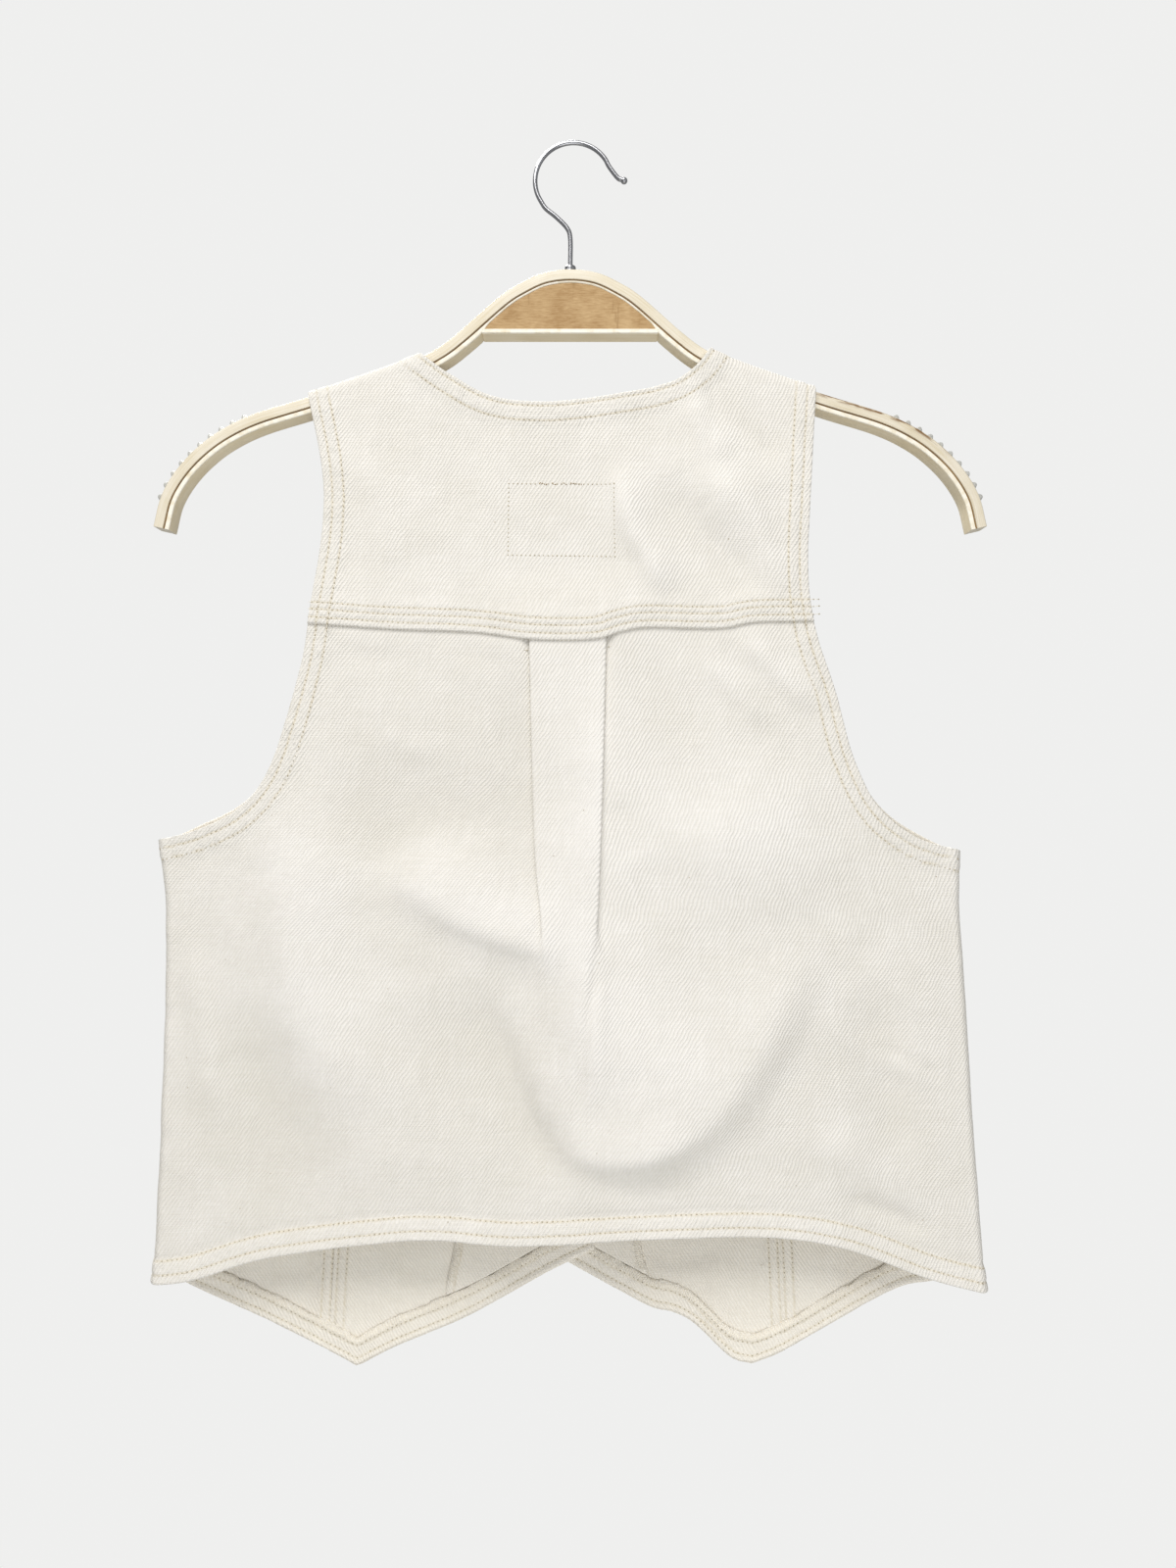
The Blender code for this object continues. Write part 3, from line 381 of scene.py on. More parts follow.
    # relief: lines and yarns, then the small puckers that sewing leaves in a band
    height = addNode(tree, "ShaderNodeMath", {0: slubs.outputs[0], 1: 0.5, 2: crossed},
                     operation="MULTIPLY_ADD")
    weave = addNode(tree, "ShaderNodeBump", {"Height": height.outputs[0], "Strength": 0.5,
                                             "Distance": 0.0003})
    drawn = addNode(tree, "ShaderNodeTexNoise", {"Vector": flat, "Scale": 0.34, "Detail": 3.0}).outputs["Fac"]
    puckers = addNode(tree, "ShaderNodeMath", {0: drawn, 1: band}, operation="MULTIPLY")
    puckered = addNode(tree, "ShaderNodeBump",
                       {"Height": puckers.outputs[0], "Strength": 0.55, "Distance": 0.0012,
                                                "Normal": weave.outputs[0]})
    crumple = addNode(tree, "ShaderNodeTexNoise",
                      {"Vector": place, "Scale": 70.0, "Detail": 4.0}).outputs["Fac"]
    creased = addNode(tree, "ShaderNodeBump", {"Height": crumple, "Strength": 0.28, "Distance": 0.0016,
                                               "Normal": puckered.outputs[0]})
    tree.links.new(creased.outputs[0], shader.inputs["Normal"])
    return made


def makeThread():
    # spun cotton sewing thread, undyed: matt, a shade yellower than the cloth
    made, tree, shader = startMaterial("spun cotton thread")
    place = addNode(tree, "ShaderNodeTexCoord").outputs["Object"]
    grain = addNode(tree, "ShaderNodeTexNoise",
                    {"Vector": place, "Scale": 900.0, "Detail": 1.0}).outputs["Fac"]
    colour = addNode(tree, "ShaderNodeMix", {0: grain, 6: hexColour("f3eee2"), 7: hexColour("e3dac5")},
                     data_type="RGBA").outputs[2]
    tree.links.new(colour, shader.inputs["Base Color"])
    shader.inputs["Roughness"].default_value = 0.8
    return made


def makeHole(name, dark, pale):
    # the shadow in a needle hole, with a little thread showing in it: dull and dark, never quite black
    made, tree, shader = startMaterial(name)
    place = addNode(tree, "ShaderNodeTexCoord").outputs["Object"]
    depth = addNode(tree, "ShaderNodeTexNoise",
                    {"Vector": place, "Scale": 260.0, "Detail": 2.0}).outputs["Fac"]
    colour = addNode(tree, "ShaderNodeMix", {0: depth, 6: hexColour(dark), 7: hexColour(pale)},
                     data_type="RGBA").outputs[2]
    tree.links.new(colour, shader.inputs["Base Color"])
    shader.inputs["Roughness"].default_value = 0.95
    return made


# metres along x, millimetres down from the top line, and how far the streaks break up
bruises = {"start": (0.122, 0.132), "end": (0.198, 0.185), "edge": (8.6, 7.2), "streaks": (0.45, 0.54),
           "stretch": (0.1, 0.6, 1.0), "colour": "79562f"}


def addBruises(tree, flat, colour):
    # the outer edge of one arm is knocked through to brown in a few streaks
    spot = addNode(tree, "ShaderNodeTexCoord").outputs["Object"]
    across = addNode(tree, "ShaderNodeSeparateXYZ", {0: spot}).outputs[0]
    start = addNode(tree, "ShaderNodeMapRange",
                    {"Value": across, "From Min": bruises["start"][0],
                     "From Max": bruises["start"][1]}).outputs[0]
    end = addNode(tree, "ShaderNodeMapRange",
                  {"Value": across, "From Min": bruises["end"][0], "From Max": bruises["end"][1]}).outputs[0]
    down = addNode(tree, "ShaderNodeSeparateXYZ", {0: flat}).outputs[1]
    edge = addNode(tree, "ShaderNodeMapRange",
                   {"Value": down, "From Min": bruises["edge"][0], "From Max": bruises["edge"][1]}).outputs[0]
    stretched = addNode(tree, "ShaderNodeVectorMath", {0: flat, 1: bruises["stretch"]},
                        operation="MULTIPLY").outputs[0]
    streaks = addNode(tree, "ShaderNodeTexNoise",
                      {"Vector": stretched, "Scale": 1.0, "Detail": 4.0}).outputs["Fac"]
    share = addNode(tree, "ShaderNodeMapRange",
                    {"Value": streaks, "From Min": bruises["streaks"][0],
                     "From Max": bruises["streaks"][1]}).outputs[0]
    for part in (start, end, edge):
        share = addNode(tree, "ShaderNodeMath", {0: share, 1: part}, operation="MULTIPLY").outputs[0]
    return addNode(tree, "ShaderNodeMix", {0: share, 6: colour, 7: hexColour(bruises["colour"])},
                   data_type="RGBA").outputs[2]


def makeLacquered(name, pale, dark, grainScale, strength, bruised=False):
    # sliced hardwood under a thin clear lacquer: long fine grain, satin
    made, tree, shader = startMaterial(name)
    flat = addNode(tree, "ShaderNodeUVMap", uv_map="pattern").outputs["UV"]
    stretched = addNode(tree, "ShaderNodeVectorMath", {0: flat, 1: grainScale},
                        operation="MULTIPLY").outputs[0]
    grain = addNode(tree, "ShaderNodeTexNoise",
                    {"Vector": stretched, "Scale": 1.0, "Detail": 5.0, "Roughness": 0.6})
    cloud = addNode(tree, "ShaderNodeTexNoise", {"Vector": flat, "Scale": 0.04, "Detail": 3.0}).outputs["Fac"]
    both = addNode(tree, "ShaderNodeMath", {0: cloud, 1: 0.7, 2: grain.outputs["Fac"]},
                   operation="MULTIPLY_ADD")
    share = addNode(tree, "ShaderNodeMapRange",
                    {"Value": both.outputs[0], "From Min": 0.62, "From Max": 1.15})
    colour = addNode(tree, "ShaderNodeMix", {0: share.outputs[0], 6: hexColour(pale), 7: hexColour(dark)},
                     data_type="RGBA").outputs[2]
    if bruised:
        colour = addBruises(tree, flat, colour)
    tree.links.new(colour, shader.inputs["Base Color"])
    bump = addNode(tree, "ShaderNodeBump", {"Height": grain.outputs["Fac"], "Strength": strength,
                                            "Distance": 0.0002})
    tree.links.new(bump.outputs[0], shader.inputs["Normal"])
    shader.inputs["Roughness"].default_value = 0.42
    return made


def makePaint():
    # satin alkyd enamel brushed on wood: slightly wavy, a few thin places
    made, tree, shader = startMaterial("satin white enamel")
    flat = addNode(tree, "ShaderNodeUVMap", uv_map="pattern").outputs["UV"]
    thin = addNode(tree, "ShaderNodeTexNoise", {"Vector": flat, "Scale": 0.25, "Detail": 5.0}).outputs["Fac"]
    share = addNode(tree, "ShaderNodeMapRange", {"Value": thin, "From Min": 0.45, "From Max": 0.8})
    colour = addNode(tree, "ShaderNodeMix", {0: share.outputs[0], 6: hexColour("f5f0e2"),
                                             7: hexColour("ddd0b0")},
                     data_type="RGBA").outputs[2]
    tree.links.new(colour, shader.inputs["Base Color"])
    bump = addNode(tree, "ShaderNodeBump", {"Height": thin, "Strength": 0.1, "Distance": 0.0003})
    tree.links.new(bump.outputs[0], shader.inputs["Normal"])
    shader.inputs["Roughness"].default_value = 0.38
    return made


def makeChrome(name, colour, roughness):
    # nickel-chrome plate on drawn steel wire: a near mirror with faint draw marks
    made, tree, shader = startMaterial(name)
    place = addNode(tree, "ShaderNodeTexCoord").outputs["Object"]
    marks = addNode(tree, "ShaderNodeTexNoise",
                    {"Vector": place, "Scale": 90.0, "Detail": 1.0}).outputs["Fac"]
    rough = addNode(tree, "ShaderNodeMapRange",
                    {"Value": marks, "To Min": roughness * 0.9, "To Max": roughness * 1.15})
    tree.links.new(rough.outputs[0], shader.inputs["Roughness"])
    shader.inputs["Base Color"].default_value = hexColour(colour)
    shader.inputs["Metallic"].default_value = 1.0
    return made


def makeRubber():
    # clear thermoplastic elastomer, moulded: cloudy, soft highlights, takes up what is behind it
    made, tree, shader = startMaterial("clear elastomer")
    place = addNode(tree, "ShaderNodeTexCoord").outputs["Object"]
    cloud = addNode(tree, "ShaderNodeTexNoise",
                    {"Vector": place, "Scale": 300.0, "Detail": 2.0}).outputs["Fac"]
    colour = addNode(tree, "ShaderNodeMix", {0: cloud, 6: hexColour("cfcfca"), 7: hexColour("b6b5ad")},
                     data_type="RGBA").outputs[2]
    tree.links.new(colour, shader.inputs["Base Color"])
    shader.inputs["Roughness"].default_value = 0.3
    shader.inputs["Transmission Weight"].default_value = 0.2
    shader.inputs["IOR"].default_value = 1.49
    return made


denim = makeTwill("undyed cotton twill", twill["colour"], twill["shade"])
# the wrong side: a paler copy of the twill, painted lighter in place of the light that reaches the inner
# faces
denimInsideLit = makeTwill("undyed cotton twill wrong side, painted lighter", "f6f2e9", "e8e1d3")
thread = makeThread()
hole = makeHole("shaded needle hole", twill["hole"], "cdc4b0")
threadEnd = makeHole("frayed tan thread end", "6d5a3c", "a38c62")
birch = makeLacquered("lacquered birch", "e5decf", "ccbf9f", (0.03, 1.4, 1.0), 0.25, bruised=True)
birchUnder = makeLacquered("lacquered birch, cut across its layers", "f4e8cc", "dfcca2", (0.03, 1.4, 1.0),
                           0.2)
glueLine = makeLacquered("dark glue line", "96763f", "654724", (0.08, 1.0, 1.0), 0.5)
enamel = makePaint()
chrome = makeChrome("chromed steel wire", "a3a4a8", 0.24)
nickel = makeChrome("nickel-plated brass", "b9b4aa", 0.28)
rubber = makeRubber()
print("materials ready")


# the waistcoat's form, as in its solids: edges as x, z seen from the back

form = {
    "wall": 0.6,           # half of one layer of cloth
    "layer": 1.6,
    "seam": 0.2,
    "edgeDepth": 8.0,
    "shoulderLift": 2.4, "shoulderRound": 6.0, "shoulderSlope": 0.94, "sideRound": 5.0,
    "boardTop": ((0.0, -67.0), (14.0, -68.8), (26.0, -74.2), (37.0, -81.4), (57.5, -99.4), (70.0, -108.6),
                 (86.0, -116.0), (130.0, -131.2), (162.0, -141.2), (180.0, -149.8), (193.0, -159.5),
                 (203.5, -171.0), (211.0, -184.0), (215.0, -199.5)),
    "neck": ((-78.5, -109.7), (-62.0, -121.5), (-40.0, -133.0), (-12.0, -136.0), (20.0, -132.5),
             (50.0, -126.5), (64.5, -117.5), (72.5, -107.4)),
    "armLeft": ((-135.0, -130.7), (-127.5, -170.0), (-127.0, -200.0), (-133.0, -242.0), (-138.5, -274.0),
                (-153.0, -322.0), (-168.0, -343.5), (-190.0, -355.5), (-212.5, -361.5)),
    "armRight": ((126.5, -127.6), (124.5, -165.0), (122.0, -222.0), (126.0, -254.0), (136.0, -285.0),
                 (144.5, -317.0), (157.0, -343.0), (177.0, -359.5), (201.0, -367.0)),
    "sideLeft": ((-212.5, -361.5), (-209.3, -395.0), (-209.5, -450.0), (-211.5, -505.0), (-215.5, -589.0)),
    "sideRight": ((201.0, -367.0), (201.3, -400.0), (204.5, -445.0), (208.0, -505.0), (214.5, -593.5)),
    "yokeSeam": ((-133.5, -250.5), (-90.0, -253.4), (-50.0, -255.0), (-19.0, -259.0), (12.0, -259.0),
                 (26.0, -255.0), (40.0, -252.6), (76.0, -253.0), (95.0, -249.8), (126.0, -249.2)),
    "backHem": ((-215.5, -589.0), (-192.0, -585.5), (-154.0, -573.8), (-98.0, -565.2), (-68.0, -563.2),
                (-24.0, -566.0), (40.0, -562.5), (100.0, -562.0), (139.0, -568.5), (183.0, -585.0),
                (214.5, -593.5)),
    # how far the cloth hangs from the hanger's plane: z, behind it, in front of it
    "body": ((-60.0, 8.0, 10.4), (-150.0, 8.2, 10.4), (-210.0, 9.2, 10.2), (-260.0, 11.0, 10.0),
             (-340.0, 13.0, 10.0), (-430.0, 16.5, 10.2), (-520.0, 18.0, 10.4), (-575.0, 15.0, 10.0),
             (-660.0, 12.0, 9.8)),
}
boardTop = smoothCurve([(-x, z) for x, z in form["boardTop"][:0:-1]] + list(form["boardTop"]), 8)
neckLine = smoothCurve(form["neck"])
seamLine = smoothCurve(form["yokeSeam"])
armLeft = smoothCurve(form["armLeft"])
armRight = smoothCurve(form["armRight"])
sideLeft = smoothCurve(form["sideLeft"])
sideRight = smoothCurve(form["sideRight"])
backHem = smoothCurve(form["backHem"])

# folds: path as x, z, height, width on the path's left, width on its right
backFolds = (
    (((122, -400), (112, -434), (99, -464), (78, -494), (48, -515), (16, -519), (-12, -506)),
     6.4, 13.0, 26.0),
    (((17, -262), (16, -330), (12, -395), (9, -450), (16, -505)), 4.3, 30.0, 13.0),
    (((-25, -262), (-24, -330), (-19, -395), (-12, -425)), -1.9, 6.0, 22.0),
    (((-52, -425), (-38, -465), (-20, -502), (8, -538)), -5.5, 11.0, 32.0),
    (((-104, -370), (-76, -385), (-46, -401), (8, -420)), 7.4, 28.0, 13.0),
    (((-130, -320), (-138, -380), (-139, -430), (-120, -478), (-84, -515)), 6.0, 26.0, 24.0),
    (((22, -158), (31, -196), (52, -240)), 1.6, 11.0, 6.0),
    (((124, -500), (150, -528), (198, -560)), 2.6, 14.0, 10.0),
)
# broad swells and hollows: middle as x, z, height, half width, half height
backSwells = (
    (38.0, -474.0, 6.6, 40.0, 38.0),
    (-158.0, -505.0, -5.6, 40.0, 50.0),
    (-78.0, -352.0, -5.0, 46.0, 32.0),
    (86.0, -360.0, 6.5, 42.0, 36.0),
    (172.0, -545.0, -2.4, 28.0, 40.0),
    (80.0, -180.0, 3.0, 34.0, 28.0),
)
frontFolds = (
    (((-60, -330), (-78, -430), (-70, -540)), 2.2, 32.0, 32.0),
    (((72, -340), (60, -440), (78, -550)), 2.0, 30.0, 30.0),
    (((-190, -400), (-160, -470), (-150, -560)), 2.0, 20.0, 20.0),
    (((178, -410), (152, -480), (160, -560)), 1.8, 20.0, 20.0),
)
# creases too small for the solids
backCreases = (
    (((114, -412), (95, -464), (70, -502), (42, -521), (10, -524), (-10, -514)), 0.6, 5.0, 6.0),
    (((-80, -392), (-50, -407), (-2, -422)), 0.9, 7.0, 3.0),
    (((-194, -418), (-187, -462), (-179, -513)), 1.2, 5.0, 7.0),
    (((72, -505), (34, -520), (4, -518), (-12, -500), (-16, -470)), 2.4, 7.0, 15.0),
    (((13.5, -400), (11.7, -432), (8, -462), (4, -491), (1, -506)), -1.2, 3.4, 2.6),
    (((84, -254), (104, -272), (128, -298)), 2.4, 6.0, 6.0),
    (((62, -262), (84, -284), (104, -306)), 1.6, 6.0, 6.0),
    (((24, -166), (27, -184), (31, -203), (43, -221), (53, -240)), 2.6, 9.0, 6.0),
    (((46, -172), (62, -202), (86, -227), (106, -236)), -2.6, 12.0, 10.0),
    (((62, -168), (88, -190), (101, -214), (112, -240)), 2.7, 8.0, 12.0),
    (((68, -126), (90, -146), (110, -172)), -2.1, 8.0, 8.0),
    (((56, -132), (70, -150), (84, -168)), 2.0, 8.0, 8.0),
    (((148, -432), (161, -478), (167, -536)), -2.6, 12.0, 18.0),
    (((154, -464), (174, -474), (193, -484)), -1.1, 3.4, 3.0),
    (((132, -542), (160, -551), (190, -564)), -1.8, 5.0, 5.0),
    (((118, -442), (150, -468), (192, -486)), 1.3, 9.0, 7.0),
    (((150, -416), (168, -440), (196, -452)), 0.9, 8.0, 6.0),
    (((16, -425), (13, -470), (12, -506)), 1.2, 8.0, 5.0),
    (((-11, -541), (30, -546), (68, -541)), 0.6, 5.0, 5.0),
    (((-118, -262), (-100, -268), (-84, -266)), -0.8, 5.0, 6.0),
    (((-60, -262), (-46, -268), (-30, -272)), -0.7, 5.0, 6.0),
    (((-112, -158), (-96, -190), (-92, -226)), 0.7, 9.0, 9.0),
    (((-100, -300), (-84, -314), (-60, -318)), 0.8, 8.0, 6.0),
    (((22, -338), (28, -356), (34, -374)), -0.9, 6.0, 7.0),
    (((-62, -448), (-50, -486), (-30, -520)), 0.9, 8.0, 6.0),
    (((-176, -392), (-168, -420), (-166, -452)), 0.8, 6.0, 8.0),
)
frontCreases = (
    (((-96, -588), (-76, -592), (-58, -586)), 1.2, 6.0, 6.0),
    (((36, -588), (60, -592), (86, -584)), -1.2, 5.0, 7.0),
    (((-170, -586), (-150, -590), (-134, -586)), 0.9, 6.0, 6.0),
)


def foldHeight(x, z, folds):
    total = np.zeros(np.shape(x))
    for path, height, leftWidth, rightWidth in folds:
        curve = smoothCurve(path, 6)
        nearest, place, side = nearestOn(curve, x, z)
        share = place / runOf(curve)[-1]
        ends = smoothStep(0.0, 0.3, share) * smoothStep(0.0, 0.3, 1.0 - share)
        total += height * ends * np.exp(-((nearest / np.where(side > 0.0, leftWidth, rightWidth)) ** 2))
    return total


def crumple(x, z, seed):
    # the soft unevenness of washed cloth
    flatX, flatZ = np.ravel(x), np.ravel(z)
    found = [noise.noise(Vector((px / 34.0, pz / 27.0, seed))) * 0.7
             + noise.noise(Vector((px / 13.0, pz / 11.0, seed + 7.0))) * 0.16 for px, pz in zip(flatX, flatZ)]
    return np.array(found).reshape(np.shape(x))


def swellHeight(x, z, swells):
    total = np.zeros(np.shape(x))
    for middleX, middleZ, height, halfWidth, halfHeight in swells:
        total += height * np.exp(-(((x - middleX) / halfWidth) ** 2) - ((z - middleZ) / halfHeight) ** 2)
    return total


def rounding(distance, radius, power):
    part = np.clip(1.0 - distance / radius, 0.0, 1.0)
    return (1.0 - part**power) ** (1.0 / power)


def shoulderAt(x):
    return heightAt(boardTop, x) + form["shoulderLift"]


def turned(x, z):
    # from 0 at the shoulder's and the side seams' turned edges to 1 away from them
    below = (shoulderAt(x) - z) * form["shoulderSlope"]
    fromSide = np.minimum(x - xAt(sideLeft, z), xAt(sideRight, z) - x)
    return rounding(below, form["shoulderRound"], 3.0) * rounding(fromSide, form["sideRound"], 2.0)


def bodyDepth(x, z, index, folds, swells, creases, seed):
    left, right = xAt(sideLeft, z), xAt(sideRight, z)
    across = np.clip((2.0 * x - left - right) / (right - left), -1.0, 1.0)
    heights = [row[0] for row in form["body"][::-1]]
    centre = np.interp(z, heights, [row[index] for row in form["body"][::-1]])
    flat = form["edgeDepth"] + (centre - form["edgeDepth"]) * (1.0 - across**2)
    inner = smoothStep(0.0, 0.3, 1.0 - np.abs(across))
    fine = foldHeight(x, z, creases) + crumple(x, z, seed)
    small = fine * smoothStep(0.0, 0.06, 1.0 - np.abs(across))
    large = (foldHeight(x, z, folds) + swellHeight(x, z, swells)) * inner
    return np.maximum(flat + large + small, form["edgeDepth"] - 0.2)


def foldShadeShare(x, z, lift):
    # painted light from the fold heights: a painted highlight where the back stands out, on the pleat's
    # raised strip as well, and painted shade in its hollows
    raised = foldHeight(x, z, backFolds[1:]) + swellHeight(x, z, backSwells) + foldHeight(x, z, backCreases)
    return np.clip(raised / 6.0, -1.0, 1.0) + 0.6 * smoothStep(2.4, 3.2, lift)


def backY(x, z, lift=0.0):
    depth = bodyDepth(x, z, 1, backFolds, backSwells, backCreases, 3.0) + lift
    return -(form["seam"] + (depth - form["seam"]) * turned(x, z))


def frontY(x, z, lift=0.0):
    depth = bodyDepth(x, z, 2, frontFolds, (), frontCreases, 11.0) + lift
    return form["seam"] + (depth - form["seam"]) * turned(x, z)


# cloth pieces: each is a closed thin shell, thicker where its edge is turned in, drawn in at each sewn row

def clothSurface(piece, x, z):
    # middle depth, half thickness, nearness to a sewn row and to a sewn band at each point
    half = np.full(np.shape(x), form["wall"])
    row = np.zeros(np.shape(x))
    near = np.zeros(np.shape(x))
    pucker = np.zeros(np.shape(x))
    for number, band in enumerate(piece["bands"]):
        distance, place, _ = nearestOn(band["curve"], x, z)
        inside = 1.0 - smoothStep(band["width"] - 0.5, band["width"] + 0.9, distance)
        half = half + band["extra"] * inside
        for at in band["rows"]:
            row = np.maximum(row, np.exp(-(((distance - at) / 0.85) ** 2)))
        near = np.maximum(near, 1.0 - smoothStep(band["width"], band["width"] + 5.0, distance))
        waves = wobble(place, band.get("wave", 5.6), 20 + number) + 0.6 * wobble(place, 17.0, 60 + number)
        pucker += band.get("pucker", 0.2) * waves * np.exp(-((distance / (band["width"] + 4.0)) ** 2))
        pucker += band.get("flare", 0.0) * np.clip(1.0 - distance / band["width"], 0.0, 1.0)
        pucker -= band.get("dip", 0.0) * np.exp(-(((distance - band["width"] - 0.8) / 1.3) ** 2))
    y = piece["depth"](x, z) + piece["out"] * pucker
    return y, half - 0.4 * row, row, near


def clothShell(name, piece, flat, lift=None, materials=None, foldShade=None):
    x, z = flat[..., 0], flat[..., 1]
    y, half, row, near = clothSurface(piece, x, z)
    if lift is not None:
        y = y + piece["out"] * lift
    middle = np.stack([x, y, z], axis=-1)
    tall, wide = x.shape
    ahead, downward = np.gradient(middle, axis=1), np.gradient(middle, axis=0)
    normal = np.cross(ahead, downward)
    normal /= np.linalg.norm(normal, axis=-1)[..., None] + 1e-9
    facing = 1.0 if np.sum(normal[..., 1]) * piece["out"] > 0.0 else -1.0
    normal *= facing
    rowRun = np.concatenate([np.zeros((tall, 1)),
                             np.cumsum(np.linalg.norm(np.diff(middle, axis=1), axis=-1), 1)], 1)
    columnRun = np.concatenate([np.zeros((1, wide)),
                                np.cumsum(np.linalg.norm(np.diff(middle, axis=0), axis=-1), 0)])
    fromEdge = np.minimum(np.minimum(rowRun, rowRun[:, -1:] - rowRun),
                          np.minimum(columnRun, columnRun[-1:] - columnRun))
    taper = np.sqrt(1.0 - (1.0 - np.clip(fromEdge / half, 0.0, 1.0)) ** 2)
    reach = (half * taper)[..., None] * normal
    outer, inner = middle + reach, middle - reach

    number = np.arange(tall * wide).reshape(tall, wide)
    innerNumber = number.copy()
    innerNumber[1:-1, 1:-1] = tall * wide + np.arange((tall - 2) * (wide - 2)).reshape(tall - 2, wide - 2)
    points = np.concatenate([outer.reshape(-1, 3), inner[1:-1, 1:-1].reshape(-1, 3)])
    corners = [(slice(None, -1), slice(None, -1)), (slice(None, -1), slice(1, None)),
               (slice(1, None), slice(1, None)), (slice(1, None), slice(None, -1))]
    outerFaces = np.stack([number[corner] for corner in corners], -1).reshape(-1, 4)
    innerFaces = np.stack([innerNumber[corner] for corner in corners[::-1]], -1).reshape(-1, 4)
    if facing < 0.0:
        outerFaces, innerFaces = outerFaces[:, ::-1], innerFaces[:, ::-1]
    faces = np.concatenate([outerFaces, innerFaces])
    made = linkMesh(name, points, faces.tolist(), materials or [denim, denimInsideLit])

    pivot = wide // 2
    fromPivot = rowRun - rowRun[:, pivot:pivot + 1]
    u = -piece["out"] * (x[:, pivot:pivot + 1] + fromPivot * np.sign(x[0, -1] - x[0, 0]))
    pattern = np.stack([u, z], -1).reshape(-1, 2)
    pattern = np.concatenate([pattern, np.stack([u, z], -1)[1:-1, 1:-1].reshape(-1, 2)])
    layer = made.data.uv_layers.new(name="pattern")
    layer.data.foreach_set("uv", pattern[faces.ravel()].astype(np.float32).ravel())
    # the fold attribute carries painted highlight and shade from the fold heights; none unless given
    if foldShade is None:
        foldShade = np.zeros(x.shape)
    for attribute, values in (("stitchRow", row), ("seamBand", near), ("foldShade", foldShade)):
        values = np.concatenate([values.ravel(), values[1:-1, 1:-1].ravel()])
        stored = made.data.attributes.new(attribute, "FLOAT", "POINT")
        stored.data.foreach_set("value", values.astype(np.float32))
    slots = np.concatenate([np.zeros(len(outerFaces), np.int32), np.ones(len(innerFaces), np.int32)])
    made.data.polygons.foreach_set("material_index", slots)
    made.data.update()
    return made


# stitches: a geometry nodes tree sets small thread pieces along each sewn row

